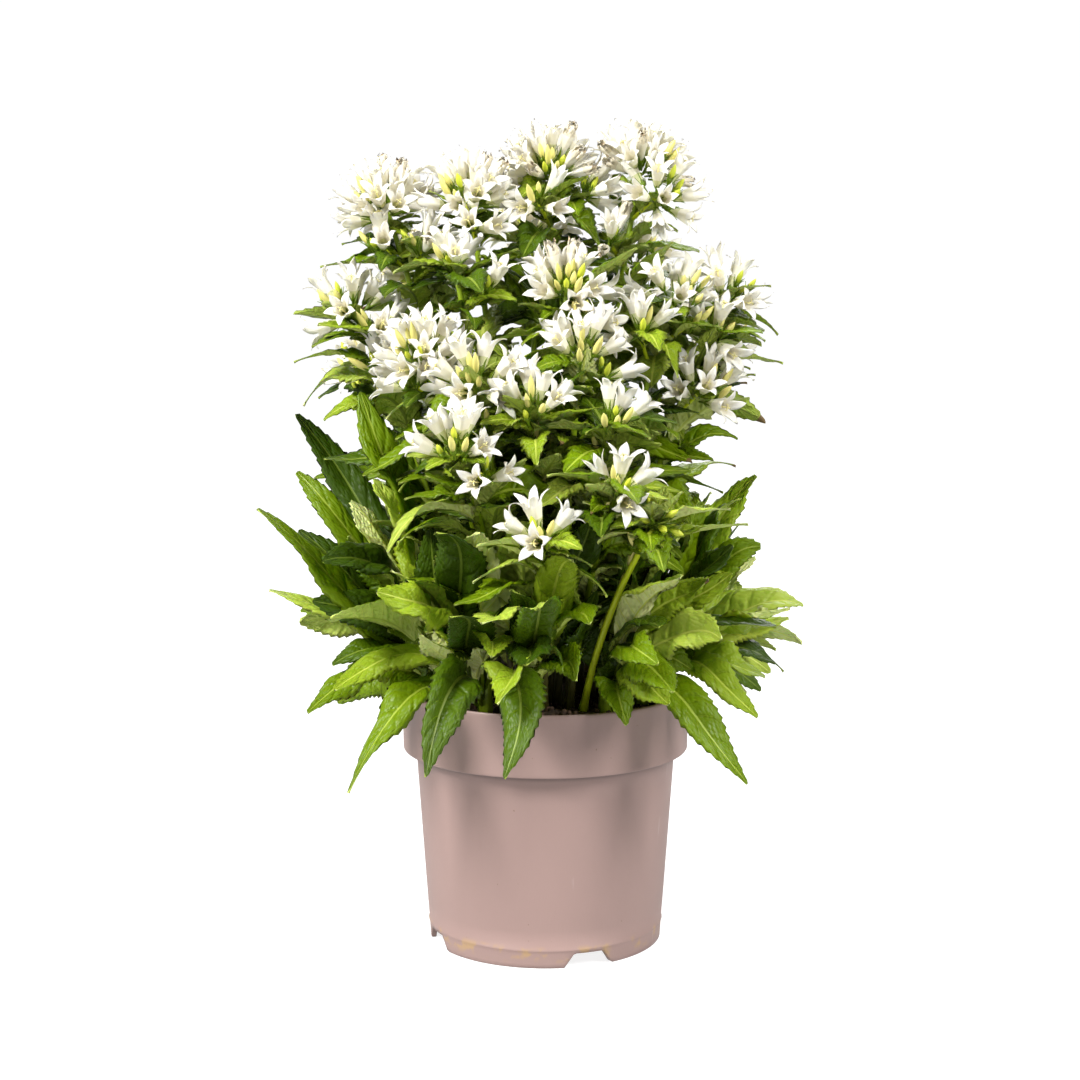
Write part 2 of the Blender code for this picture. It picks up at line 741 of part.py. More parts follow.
def crown_post(foot, radius):
    """A square post a little over a crown's size, for the test of clear space."""
    up = Vector((0, 0, CROWN_HEIGHT))
    ring = [foot + Vector((radius * x, radius * y, 0)) for x, y in ((1, 0), (0, 1), (-1, 0), (0, -1))]
    return loft([ring, [p + up for p in ring]], foot + up)


def basal_mass(i, foot, collection, space):
    """The crown that a sector's leaves grow from."""
    top = foot + Vector((0, 0, CROWN_HEIGHT))
    radii = [CROWN_RADIUS, 0.7 * CROWN_RADIUS]
    return start_mass(f"basal_leaves_{i + 1:02d}", "leaf", [foot, top], radii, collection, space)


def crown_point(foot, azimuth, height):
    """Where on its crown a leaf grows: on the side it leaves by, and higher the higher its tip."""
    share = min(max((height - LOW_TIP) / (HIGH_TIP - LOW_TIP), 0), 1)
    out = Vector((math.cos(azimuth), math.sin(azimuth), 0)) * ROOT_ASIDE * CROWN_RADIUS
    return foot + out + Vector((0, 0, CROWN_HEIGHT * (LOWEST_ROOT + ROOT_SPAN * share)))


def add_basal_leaf(mass, space, root, azimuth, reach, height, width, arch, roll):
    """A long leaf from the crown to a tip at that azimuth, reach and height."""
    tries = []
    for turn, size, lift in BASAL_SHIFTS:
        angle = azimuth + turn
        tip = Vector((reach * size * math.cos(angle), reach * size * math.sin(angle), height + lift * MM))
        middle = (root + tip) / 2 + Vector((0, 0, arch * (tip - root).length * 2))
        line = [bezier(root, middle, tip, share) for share in BASAL_RUN]
        tries.append((line, width * size, BASAL_PETIOLE, roll))
    return grow(mass, space, leaf_shape, tries)


def sector_of(azimuth):
    return int((azimuth % math.tau) / math.tau * BASAL_MASSES) % BASAL_MASSES


def add_outline_leaves(masses, crowns, space):
    for azimuth, reach, height, width, arch, roll in OUTLINE_LEAVES:
        angle = math.radians(azimuth)
        i = sector_of(angle)
        root = crown_point(crowns[i], angle, height * MM)
        add_basal_leaf(masses[i], space, root, angle, reach * MM, height * MM, width * MM, arch, roll)


def add_seeded_leaves(masses, crowns, space, rng):
    for k in range(BASAL_LEAVES_PER_MASS):
        for i, mass in enumerate(masses):
            reach, height, arch = BASAL_LAYERS[(k + 3 * i) % len(BASAL_LAYERS)]
            angle = (i + rng.uniform(0.05, 0.95)) * math.tau / BASAL_MASSES
            reach *= rng.uniform(0.9, 1.04)
            height += rng.uniform(-10, 10)
            width = rng.uniform(22, 30)
            roll = rng.uniform(-0.6, 0.6)
            root = crown_point(crowns[i], angle, height * MM)
            add_basal_leaf(mass, space, root, angle, reach * MM, height * MM, width * MM, arch, roll)


# ---------------------------------------------------------------- assembly


def main():
    clear_scene()
    rng = random.Random(SEED)
    plant = new_collection("potted_clustered_bellflower")
    cutters = new_collection("cutters", hidden=True)
    space = Space()
    for obj in (pot(plant, cutters), compost(plant)):
        space.take_object(obj.name, obj)
    for name, (place, _, _) in STEMS.items():
        stem = limb("stem_" + name, Vector(place) * MM, plant)
        space.take_object(stem.name, stem)
    shoots = {name: flowering_mass(name, plant, space) for name in STEMS}
    crowns = [crown_place(i, space) for i in range(BASAL_MASSES)]
    basal = [basal_mass(i, foot, plant, space) for i, foot in enumerate(crowns)]
    for name, mass in shoots.items():
        fill_with_blossom(mass, name, space, rng)
    add_outline_stem_leaves(shoots, space)
    add_outline_leaves(basal, crowns, space)
    for name, mass in shoots.items():
        fill_with_leaves(mass, name, space, rng)
    add_seeded_leaves(basal, crowns, space, rng)
    for mass in [*shoots.values(), *basal]:
        mass.join()


main()
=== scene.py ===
"""White clustered bellflower in a nursery pot: the dressed model.

The plant grows again here from the stems and outline leaves of its solids, carried to finer leaves,
blossoms and buds. The tables hold millimetres and degrees. Everything else is in metres, +Z up, with
the origin in the middle of the pot's underside and the plant's best side towards -Y.
"""

import logging
import math
import random
from dataclasses import dataclass, field
from enum import Enum, IntEnum
from typing import Iterable, Iterator, Optional, Sequence

import bpy
import numpy as np
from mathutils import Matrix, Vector
from mathutils.bvhtree import BVHTree


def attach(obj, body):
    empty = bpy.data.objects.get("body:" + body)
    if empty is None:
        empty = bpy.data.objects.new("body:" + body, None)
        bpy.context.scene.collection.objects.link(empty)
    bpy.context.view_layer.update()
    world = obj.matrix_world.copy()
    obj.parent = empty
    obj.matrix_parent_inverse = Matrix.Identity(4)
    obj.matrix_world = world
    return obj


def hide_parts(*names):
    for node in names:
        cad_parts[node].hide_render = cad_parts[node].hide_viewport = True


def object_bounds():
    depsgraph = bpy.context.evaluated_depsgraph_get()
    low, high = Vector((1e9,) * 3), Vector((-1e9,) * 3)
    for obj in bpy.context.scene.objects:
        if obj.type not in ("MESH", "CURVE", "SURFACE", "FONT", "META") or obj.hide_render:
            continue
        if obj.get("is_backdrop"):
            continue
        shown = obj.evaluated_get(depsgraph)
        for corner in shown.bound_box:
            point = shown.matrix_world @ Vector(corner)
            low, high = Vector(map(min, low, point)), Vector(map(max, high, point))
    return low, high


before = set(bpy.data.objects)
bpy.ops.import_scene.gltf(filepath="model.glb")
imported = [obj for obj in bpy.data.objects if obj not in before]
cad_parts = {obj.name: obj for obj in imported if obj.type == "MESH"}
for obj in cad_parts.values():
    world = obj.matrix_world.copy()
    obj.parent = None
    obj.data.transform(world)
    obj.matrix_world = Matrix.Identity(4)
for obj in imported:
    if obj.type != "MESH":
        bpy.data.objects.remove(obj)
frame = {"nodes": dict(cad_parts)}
SOLID_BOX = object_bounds()

Array = np.ndarray
Point = tuple[float, float, float]
Colour = tuple[float, float, float]
Solid = tuple[Array, list[tuple[int, ...]]]
Dice = random.Random
Socket = bpy.types.NodeSocket
Material = bpy.types.Material

LOG = logging.getLogger("bellflower")
MM = 0.001
GOLDEN_ANGLE = math.pi * (3 - math.sqrt(5))
UPWARD = np.array((0.0, 0.0, 1.0))
PIECE_FACES = 95_000  # four-cornered faces in one joined piece, which is under 200,000 triangles
SEED = 7

# The pot and what fills it
POT_HEIGHT = 170 * MM
RIM_RADIUS = 95 * MM
RIM_HEIGHT = 41 * MM
COMPOST_TOP = 161 * MM
FOOT_HEIGHT = 10 * MM

# How a stem runs from its foot on the compost to the middle of its head
FOOT_SHARE = 0.36
BOW_OUT = 0.28
BOW_UP = 0.55
CROWN_RING = 66 * MM
CROWN_HEIGHT = 26 * MM

# (name, head centre, blossoms in the head, sprays as (drop below the head, azimuth, reach, blossoms))
STEM_TABLE = (
    ("left_tall", (-103, 18, 480), 15, ((40, -140, 22, 3), (42, -50, 22, 3))),
    ("left_middle_tall", (-49, 10, 486), 13, ((30, -95, 20, 3),)),
    ("centre_tall", (3, 30, 504), 16, ((36, -110, 24, 4), (30, 0, 26, 4))),
    ("right_tall", (62, 32, 506), 14, ((34, -40, 24, 8), (66, -120, 24, 2))),
    ("left_outer", (-124, 0, 416), 9, ((26, -70, 18, 3), (50, -100, 16, 3))),
    ("left_small", (-58, -26, 446), 4, ((32, -20, 20, 4),)),
    ("centre_front_tall", (13, -30, 430), 18, ((34, -60, 24, 4),)),
    ("right_middle", (82, 0, 424), 9, ((50, -105, 44, 5), (34, -20, 22, 3))),
    ("right_outer", (116, 20, 424), 8, ((40, -60, 20, 4), (82, -50, 24, 6))),
    ("left_front", (-76, -58, 388), 13, ((30, -150, 20, 3),)),
    ("left_middle_front", (-42, -84, 374), 9, ((34, -80, 16, 2),)),
    ("centre_middle_front", (22, -62, 390), 7, ((26, -30, 20, 3),)),
    ("centre_front", (-7, -103, 358), 7, ()),
    ("right_front", (38, -102, 350), 6, ()),
    ("right_low", (42, -132, 314), 4, ()),
    ("centre_low", (-2, -146, 288), 4, ()),
    ("left_low", (-52, -124, 336), 6, ((28, -60, 18, 4),)),
    ("bud_shoot", (66, -134, 296), 0, ()),
    ("back_left", (-82, 84, 440), 12, ((32, 120, 22, 4),)),
    ("back_centre", (-10, 96, 462), 14, ((34, 80, 22, 4),)),
    ("back_right", (62, 90, 446), 12, ((36, 60, 22, 4),)),
    ("back_far_right", (114, 74, 388), 8, ((30, 20, 18, 3),)),
    ("back_low", (18, 144, 352), 7, ((30, 100, 18, 3),)),
    ("back_far_left", (-120, 78, 372), 8, ((30, 170, 18, 3),)),
)


class Tone(IntEnum):
    """The greens that leaves come in, from the shaded crown to the newest growth."""

    DARK = 0
    DEEP = 1
    MIDDLE = 2
    BRIGHT = 3
    FRESH = 4
    LIME = 5


class Side(IntEnum):
    """The finishes that one leaf wears, in wardrobe order after its tone."""

    UPPER = 0
    UNDER = 1
    RIB = 2


D, E, M, B, F, L = Tone

# Stem leaves that draw the outline: (stem, drop below the head, azimuth, length, rise, bend, tone)
OUTLINE_STEM_LEAVES = (
    ("left_outer", 42, 188, 60, 24, 30, M),
    ("right_outer", 52, -14, 62, 18, 20, M),
    ("left_tall", 40, 190, 56, 8, 10, M),
    ("left_middle_tall", 58, -140, 58, 10, 20, D),
    ("right_tall", 64, -150, 56, -5, -10, D),
    ("right_outer", 26, 20, 44, 20, 30, M),
    ("centre_tall", 28, -42, 50, -5, 35, M),
    ("right_tall", 52, 200, 44, 5, 5, D),
    ("right_tall", 24, -8, 36, 0, 10, M),
    ("centre_front_tall", 26, 163, 62, 46, 5, D),
    ("centre_front_tall", 30, 192, 46, 2, 10, B),
    ("centre_front_tall", 44, -78, 42, -38, 10, F),
    ("right_middle", 38, -98, 36, -24, 15, F),
    ("right_outer", 24, -14, 42, 2, 18, B),
    ("left_outer", 48, -24, 52, -12, 15, D),
    ("left_tall", 30, 186, 40, 4, 20, M),
    ("left_middle_tall", 36, -38, 66, -26, 22, M),
    ("centre_tall", 46, 14, 50, -4, 14, D),
    ("right_tall", 82, -52, 60, 32, 0, M),
    ("centre_middle_front", 34, -72, 46, 60, -10, F),
    ("centre_front_tall", 4, -24, 58, 34, 0, M),
    ("right_outer", 60, -62, 52, 50, 0, D),
    ("right_middle", 84, -30, 46, 20, 20, D),
    ("right_tall", 58, -16, 50, 12, 16, M),
    ("left_low", 40, -42, 54, 42, 0, M),
    ("right_front", 42, -112, 40, 26, 0, F),
    ("right_low", 28, -28, 52, 4, 18, D),
    ("bud_shoot", 20, -6, 74, 16, 8, B),
    ("bud_shoot", 6, -150, 30, 20, 20, B),
    ("bud_shoot", 4, -95, 28, 48, 6, B),
    ("bud_shoot", 3, -30, 30, 52, 0, B),
    ("bud_shoot", 3, 60, 28, 60, 0, F),
    ("bud_shoot", 12, -70, 26, 15, 30, B),
    ("centre_front", 52, -70, 48, 40, 10, M),
    ("left_front", 52, -64, 54, 30, 12, D),
)

# Basal leaves that draw the outline: (azimuth, reach, tip height, width, arch, roll in radians, tone)
OUTLINE_LEAVES = (
    (-155, 197, 299, 28, -0.02, -0.9, M),
    (-163, 184, 243, 20, 0.05, -0.5, F),
    (-146, 196, 233, 32, 0.12, 0.4, M),
    (-169, 162, 278, 26, 0.02, -0.9, D),
    (-147, 165, 267, 28, 0.22, -0.7, D),
    (-180, 163, 312, 22, 0.06, -0.8, M),
    (173, 166, 348, 26, 0.04, -0.9, D),
    (-166, 122, 367, 34, 0.05, -1.1, M),
    (-149, 174, 171, 26, 0.22, -0.2, M),
    (-140, 170, 190, 26, 0.22, -0.3, B),
    (-133, 178, 130, 28, 0.32, -0.3, M),
    (-115, 170, 146, 32, 0.34, -0.9, E),
    (-99, 160, 146, 30, 0.36, 0.5, E),
    (-124, 138, 226, 28, 0.0, 0.2, F),
    (-117, 131, 224, 32, 0.0, -0.2, L),
    (-111, 122, 217, 22, 0.04, 0.5, F),
    (-126, 172, 256, 34, 0.14, -0.6, B),
    (-116, 150, 290, 32, 0.16, 2.8, D),
    (-104, 158, 240, 34, 0.20, 0.4, F),
    (-119, 138, 284, 38, 0.02, 0.0, F),
    (-107, 128, 290, 40, 0.04, 0.2, E),
    (-86, 130, 266, 34, 0.06, -0.3, E),
    (-90, 152, 276, 28, 0.14, 2.7, B),
    (-84, 132, 296, 26, 0.12, 2.9, D),
    (-80, 148, 238, 30, 0.20, 0.3, M),
    (-96, 120, 232, 30, 0.26, 2.6, D),
    (-76, 124, 198, 26, 0.28, 0.5, M),
    (-66, 122, 168, 24, 0.34, 0.4, M),
    (-57, 138, 182, 30, 0.26, 0.3, B),
    (-62, 162, 196, 28, 0.20, 0.5, M),
    (-42, 168, 131, 30, 0.28, 0.3, M),
    (-34, 160, 168, 24, 0.26, 0.4, B),
    (-49, 162, 224, 30, 0.16, 0.8, F),
    (-41, 142, 258, 26, 0.10, 0.8, B),
    (-20, 150, 186, 26, 0.20, 0.5, B),
    (-17, 144, 269, 28, 0.14, 0.7, M),
    (-4, 160, 217, 26, 0.10, 0.7, L),
    (16, 183, 188, 26, 0.16, -0.5, L),
    (7, 157, 231, 22, 0.06, 0.7, F),
    (12, 144, 306, 28, 0.06, 0.9, B),
    (60, 66, 212, 36, 0.0, 0.2, D),
    (-66, 76, 226, 28, 0.0, 0.3, D),
)
# The seeded basal leaves, in turn: (reach, tip height, arch)
BASAL_LAYERS = (
    (150, 150, 0.34),
    (165, 205, 0.20),
    (150, 262, 0.14),
    (112, 300, 0.10),
    (140, 172, 0.28),
    (172, 240, 0.14),
    (132, 284, 0.12),
    (160, 184, 0.24),
)
BASAL_SECTORS = 10
BUD_SHOOT = "bud_shoot"  # the one stem that has not flowered yet
OUTLINE_BRUSH = 9  # how many other leaves an outline leaf may brush
# Upright openings across the rim, where nothing hangs before the compost: (x, low, high)
OPENINGS = ((2, 163, 180), (12, 163, 184), (22, 163, 186), (31, 163, 184))


# ---------------- finishes


class Tree:
    """A Principled material's nodes, made and linked by short calls."""

    def __init__(self, name: str, roughness: float) -> None:
        """Starts a material.

        Args:
            name: The material's name.
            roughness: The Principled shader's roughness.
        """
        self.material = bpy.data.materials.new(name)
        self.material.use_nodes = True
        self.nodes = self.material.node_tree.nodes
        self.shader = self.nodes["Principled BSDF"]
        self.shader.inputs["Roughness"].default_value = roughness

    def add(self, kind: str, settings: Optional[dict] = None, **inputs: object) -> bpy.types.Node:
        """Adds a node.

        Args:
            kind: The node's type, without its ShaderNode prefix.
            settings: Properties of the node itself.
            inputs: Values or sockets by input name, with spaces as underscores, or i0, i1 by place.

        Returns:
            The node.
        """
        node = self.nodes.new("ShaderNode" + kind)
        for key, value in (settings or {}).items():
            setattr(node, key, value)
        for key, value in inputs.items():
            place = int(key[1:]) if key[0] == "i" and key[1:].isdigit() else key.replace("_", " ")
            self.feed(node.inputs[place], value)
        return node

    def feed(self, socket: Socket, value: object) -> None:
        """Gives an input its value: another node's socket, a colour or a number."""
        if isinstance(value, Socket):
            self.material.node_tree.links.new(value, socket)
        else:
            socket.default_value = (*value, 1) if socket.type == "RGBA" else value

    def math(self, operation: str, *values: object) -> Socket:
        """Adds a Math node over numbers or sockets, in order, and returns its result."""
        settings = {"operation": operation}
        return self.add("Math", settings, **{f"i{i}": v for i, v in enumerate(values)}).outputs[0]

    def times(self, *values: object) -> Socket:
        """Two numbers or sockets multiplied."""
        return self.math("MULTIPLY", *values)

    def place(self, stretch: Point = (1, 1, 1)) -> Socket:
        """The surface's own place in metres, stretched."""
        spot = self.add("TexCoord").outputs["Object"]
        return self.add("Mapping", Vector=spot, Scale=stretch).outputs[0]

    def blade(self) -> tuple[Socket, Socket, Socket]:
        """The blade map: its vector, its place across (-1 to 1) and its place along."""
        spot = self.add("UVMap", {"uv_map": "blade"}).outputs[0]
        split = self.add("SeparateXYZ", Vector=spot)
        return spot, split.outputs[0], split.outputs[1]

    def noise(self, scale: float, stretch: Point = (1, 1, 1), detail: float = 3) -> Socket:
        """A noise between 0 and 1, fixed to the surface."""
        return self.add("TexNoise", Vector=self.place(stretch), Scale=scale, Detail=detail).outputs[0]

    def mix(self, share: object, first: object, second: object) -> Socket:
        """Mixes two colours.

        Args:
            share: How much of the second shows, as a number or socket.
            first: A colour or socket.
            second: A colour or socket.

        Returns:
            The mixed colour.
        """
        return self.add("Mix", {"data_type": "RGBA"}, i0=share, i6=first, i7=second).outputs[2]

    def steps(self, value: Socket, low: float, high: float) -> Socket:
        """A smooth step from 0 at low to 1 at high."""
        settings = {"interpolation_type": "SMOOTHSTEP"}
        return self.add("MapRange", settings, Value=value, From_Min=low, From_Max=high).outputs[0]

    def colour(self, value: object) -> None:
        """Gives the shader its colour, as a socket or as one colour all over."""
        self.feed(self.shader.inputs["Base Color"], value)

    def bump(self, height: object, strength: float, distance: float) -> None:
        """Gives the shader relief from a height socket, with its strength and its depth in metres."""
        node = self.add("Bump", Strength=strength, Distance=distance, Height=height)
        self.feed(self.shader.inputs["Normal"], node.outputs[0])

    def soften(self, weight: float, reach: Point, scale: float) -> None:
        """Lets light through the skin of the surface.

        Args:
            weight: How much of it is scattered.
            reach: How far red, green and blue go.
            scale: What that is in metres.
        """
        self.shader.inputs["Subsurface Weight"].default_value = weight
        self.shader.inputs["Subsurface Radius"].default_value = reach
        self.shader.inputs["Subsurface Scale"].default_value = scale


def shade(colour: Colour, gain: float) -> Colour:
    """A colour made lighter or darker."""
    return tuple(min(part * gain, 1.0) for part in colour)


@dataclass(frozen=True)
class LeafFinish:
    """A leaf's skin: quilted between side veins that run forward from the midrib, with a fine net."""

    name: str
    colour: Colour
    roughness: float
    relief: float  # up on the upper side, where veins are sunk, and down on the under side
    glow: float
    shine: float = 0.22
    veins: int = 7
    vein_lean: float = 0.16
    vein_fineness: float = 7.0
    net: Point = (7, 26, 1)  # cells of the fine net, across and along the blade
    depth: float = 1.1 * MM

    def build(self) -> Material:
        """Makes the material."""
        tree = Tree(self.name, self.roughness)
        tree.colour(self.colour)
        tree.shader.inputs["Specular IOR Level"].default_value = self.shine
        spot, across, along = tree.blade()
        lean = tree.times(tree.math("ABSOLUTE", across), self.vein_lean)
        phase = tree.times(tree.math("SUBTRACT", along, lean), math.tau * self.veins)
        wave = tree.math("MULTIPLY_ADD", tree.math("COSINE", phase), 0.5, 0.5)
        vein = tree.times(tree.math("POWER", wave, self.vein_fineness), self.relief)
        stretched = tree.add("Mapping", Vector=spot, Scale=self.net).outputs[0]
        cells = tree.add("TexVoronoi", {"feature": "F1"}, Vector=stretched, Scale=1.0).outputs[0]
        quilt = tree.math("MULTIPLY_ADD", cells, -0.8 * self.relief, tree.times(vein, -0.7))
        tree.bump(quilt, 0.8, self.depth)
        tree.soften(self.glow, (0.5, 1.0, 0.12), 1.6 * MM)
        return tree.material


@dataclass(frozen=True)
class SoftFinish:
    """A plain living skin with a fine grain along it: ribs, stems, buds, calyx, pollen."""

    name: str
    colour: Colour
    roughness: float = 0.5
    scale: float = 700.0
    stretch: Point = (1, 1, 0.25)
    glow: float = 0.1

    def build(self) -> Material:
        """Makes the material."""
        tree = Tree(self.name, self.roughness)
        tree.colour(self.colour)
        tree.bump(tree.noise(self.scale, self.stretch), 0.3, 0.3 * MM)
        tree.soften(self.glow, (0.8, 1.0, 0.3), 1.2 * MM)
        return tree.material


@dataclass(frozen=True)
class PetalFinish:
    """A thin petal with fine lines from its base to its tip."""

    name: str
    colour: Colour
    glow: float = 0.35
    crumple: float = 0.35
    roughness: float = 0.55
    sheen: float = 0.1
    lines: float = 19.0

    def build(self) -> Material:
        """Makes the material."""
        tree = Tree(self.name, self.roughness)
        tree.colour(self.colour)
        tree.shader.inputs["Sheen Weight"].default_value = self.sheen
        across = tree.blade()[1]
        lines = tree.math("COSINE", tree.times(across, self.lines))
        tree.bump(tree.math("MULTIPLY_ADD", lines, 0.3, tree.noise(150)), self.crumple, 0.5 * MM)
        tree.soften(self.glow, (1.0, 0.92, 0.65), 2.2 * MM)
        return tree.material


@dataclass(frozen=True)
class PotFinish:
    """Matte plastic from the mould: fine grain, handling marks, a tide of dried soil round the foot, and
    painted shade on the rim with a painted shadow under it.
    """

    name: str = "taupe_plastic"
    colour: Colour = (0.312, 0.209, 0.186)
    soil: Colour = (0.42, 0.27, 0.12)
    scuff: Colour = (0.74, 0.68, 0.64)
    roughness: float = 0.46
    cloudy: tuple[float, float] = (0.93, 1.06)
    rim_shade_foot: float = 0.97  # painted shade: the rim is darker than the body, most at its top, for the shade of the leaves that hang over it
    rim_shade_top: float = 0.85
    # painted shadow: a dark band just under the rim, where its overhang shades the body
    rim_shadow: float = 0.42
    grain_share: float = 0.12
    scuff_share: float = 0.1
    speck_share: float = 0.6
    soil_share: float = 0.75

    def build(self) -> Material:
        """Makes the material."""
        tree = Tree(self.name, self.roughness)
        height = tree.add("SeparateXYZ", Vector=tree.place()).outputs[2]
        grain = tree.noise(900, (1, 1, 0.3), 2)
        plastic = self.moulded_and_shaded(tree, height)
        plastic = tree.mix(tree.times(grain, self.grain_share), plastic, shade(self.colour, 1.25))
        tree.colour(self.handled(tree, height, plastic))
        tree.bump(tree.math("MULTIPLY_ADD", grain, 0.6, tree.noise(60, (1, 1, 1.6))), 0.12, 0.4 * MM)
        return tree.material

    def moulded_and_shaded(self, tree: Tree, height: Socket) -> Socket:
        """The plastic's colour: cloudy from the mould, with painted shade that darkens the rim, most at its
        top, and a painted shadow in a band just under it.

        Args:
            tree: The material's nodes.
            height: How high a place lies.

        Returns:
            The colour.
        """
        under_rim = POT_HEIGHT - RIM_HEIGHT
        cloud = tree.noise(9, (1, 1, 0.5), 4)
        plastic = tree.mix(cloud, *(shade(self.colour, gain) for gain in self.cloudy))
        # painted shade: the rim goes darker towards its top, for the shade of the leaves over it
        rise = tree.steps(height, under_rim, POT_HEIGHT - 8 * MM)
        thick = tree.mix(rise, shade(self.colour, self.rim_shade_foot), shade(self.colour, self.rim_shade_top))
        plastic = tree.mix(tree.steps(height, under_rim, under_rim + 1 * MM), plastic, thick)
        # painted shadow: a dark band just under the rim, for the shade of its overhang
        above = tree.steps(height, under_rim - 5 * MM, under_rim - 1 * MM)
        below = tree.steps(height, under_rim + 0.6 * MM, under_rim)
        return tree.mix(tree.times(above, below), plastic, shade(self.colour, self.rim_shadow))

    def handled(self, tree: Tree, height: Socket, plastic: Socket) -> Socket:
        """The plastic after its time in the nursery: scuffed, specked and with soil round its foot.

        Args:
            tree: The material's nodes.
            height: How high a place lies.
            plastic: The clean colour.

        Returns:
            The colour.
        """
        streak = tree.steps(tree.noise(120, (1, 1, 0.12)), 0.69, 0.76)
        low = tree.steps(height, 150 * MM, 120 * MM)
        marks = tree.times(tree.times(streak, low), self.scuff_share)
        plastic = tree.mix(marks, plastic, self.scuff)
        speck = tree.steps(tree.noise(300, detail=1), 0.79, 0.82)
        plastic = tree.mix(tree.times(speck, self.speck_share), plastic, shade(self.soil, 0.35))
        tide = tree.times(tree.steps(height, 16 * MM, 10.5 * MM), tree.steps(height, 2 * MM, 9 * MM))
        soil = tree.times(tide, tree.steps(tree.noise(95, detail=5), 0.5, 0.62))
        return tree.mix(tree.times(soil, self.soil_share), plastic, self.soil)


@dataclass(frozen=True)
class CompostFinish:
    """Dark peaty crumbs, some drier and browner than others."""

    name: str = "dark_compost"
    colour: Colour = (0.036, 0.020, 0.011)
    dry: float = 3.4
    roughness: float = 0.92

    def build(self) -> Material:
        """Makes the material."""
        tree = Tree(self.name, self.roughness)
        patch = tree.noise(160, detail=5)
        tree.colour(tree.mix(tree.steps(patch, 0.4, 0.7), self.colour, shade(self.colour, self.dry)))
        tree.bump(tree.noise(900, detail=4), 0.9, 1.2 * MM)
        return tree.material


@dataclass(frozen=True)
class PaperFinish:
    """The studio's smooth white paper, with its faintest mottle and a painted glow that lifts it to white.
    """

    name: str = "studio_paper"
    near: float = 0.84  # how brightly the paper's painted glow lifts it to white by the pot, and lights the plant from below
    far: float = 0.95
    glow_to_plant: float = 0.35  # the share of that painted glow that lights the plant; the camera sees all of it
    sweep: tuple[float, float] = (0.3, 1.3)  # how far out near ends and far begins
    roughness: float = 0.9

    def build(self) -> Material:
        """Makes the material."""
        tree = Tree(self.name, self.roughness)
        tree.colour(tree.mix(tree.noise(3), (0.28, 0.28, 0.28), (0.31, 0.31, 0.31)))
        away = tree.add("VectorMath", {"operation": "LENGTH"}, i0=tree.place()).outputs["Value"]
        near, far = self.sweep
        limits = {"From_Min": near, "From_Max": far, "To_Min": self.near, "To_Max": self.far}
        sweep = tree.add("MapRange", Value=away, **limits)
        # painted light: the paper glows fully to the camera and only in part to the plant
        seen = tree.add("LightPath").outputs["Is Camera Ray"]
        painted_glow = tree.math("MULTIPLY_ADD", seen, 1 - self.glow_to_plant, self.glow_to_plant)
        painted_glow = tree.times(painted_glow, sweep.outputs[0])
        tree.feed(tree.shader.inputs["Emission Color"], (1, 1, 1))
        tree.feed(tree.shader.inputs["Emission Strength"], painted_glow)
        return tree.material


# Each tone's upper side, under side and ribs
TONES = {
    Tone.DARK: ((0.031, 0.062, 0.001), (0.280, 0.362, 0.044), (0.11, 0.16, 0.01)),
    Tone.DEEP: ((0.056, 0.102, 0.001), (0.350, 0.440, 0.060), (0.17, 0.23, 0.02)),
    Tone.MIDDLE: ((0.120, 0.190, 0.001), (0.440, 0.530, 0.110), (0.28, 0.36, 0.03)),
    Tone.BRIGHT: ((0.215, 0.300, 0.012), (0.520, 0.600, 0.165), (0.41, 0.48, 0.06)),
    Tone.FRESH: ((0.330, 0.420, 0.048), (0.600, 0.665, 0.240), (0.52, 0.58, 0.10)),
    Tone.LIME: ((0.400, 0.505, 0.045), (0.640, 0.700, 0.270), (0.58, 0.65, 0.10)),
}


def leaf_wardrobe() -> tuple:
    """The finishes of the leaf pieces: three for each tone, and then the brown of a dead tip.

    Returns:
        The finishes, in the order that a face's place counts them.
    """
    finishes = []
    for tone, (upper, under, rib) in TONES.items():
        name = tone.name.lower()
        fresher = 0.025 * tone
        finishes.append(LeafFinish(f"leaf_{name}", upper, 0.42, 1.0, 0.04 + fresher))
        finishes.append(LeafFinish(f"under_{name}", under, 0.58, -1.7, 0.06 + fresher))
        finishes.append(SoftFinish(f"rib_{name}", rib))
    finishes.append(SoftFinish("leaf_brown", (0.15, 0.095, 0.03), 0.7, 300.0, (1, 1, 1), 0.0))
    return tuple(finishes)


LEAF_WARDROBE = leaf_wardrobe()
BROWN_PLACE = len(LEAF_WARDROBE) - 1


def tone_places(tone: Tone) -> Array:
    """The places of a tone's upper, under and rib finishes."""
    return np.arange(len(Side)) + tone * len(Side)


STALK_PLACE = tone_places(Tone.MIDDLE)[Side.UPPER]


class PetalPlace(IntEnum):
    """The finishes of the petal pieces, in order."""

    WHITE = 0
    CREAM = 1
    THROAT = 2
    AGED = 3
    WITHERED = 4


PETAL_WARDROBE = (
    PetalFinish("petal_white", (0.86, 0.825, 0.715)),
    PetalFinish("petal_cream", (0.84, 0.79, 0.63), 0.3, 0.35),
    PetalFinish("petal_throat", (0.66, 0.66, 0.33)),
    PetalFinish("petal_aged", (0.72, 0.64, 0.46), 0.25, 0.5),
    PetalFinish("petal_withered", (0.60, 0.45, 0.26), 0.1, 0.7),
)


class GreenPlace(IntEnum):
    """The finishes of the small green and yellow pieces, in order."""

    CALYX = 0
    BUD_CREAM = 1
    BUD_GREEN = 2
    STYLE = 3


GREEN_WARDROBE = (
    SoftFinish("calyx_green", (0.130, 0.210, 0.004), 0.45),
    SoftFinish("bud_cream", (0.70, 0.64, 0.20), 0.5, 500.0, (1, 1, 1), 0.25),
    SoftFinish("bud_green", (0.54, 0.60, 0.04), 0.5, 500.0, (1, 1, 1), 0.2),
    SoftFinish("style_yellow", (0.68, 0.62, 0.28), 0.6),
)


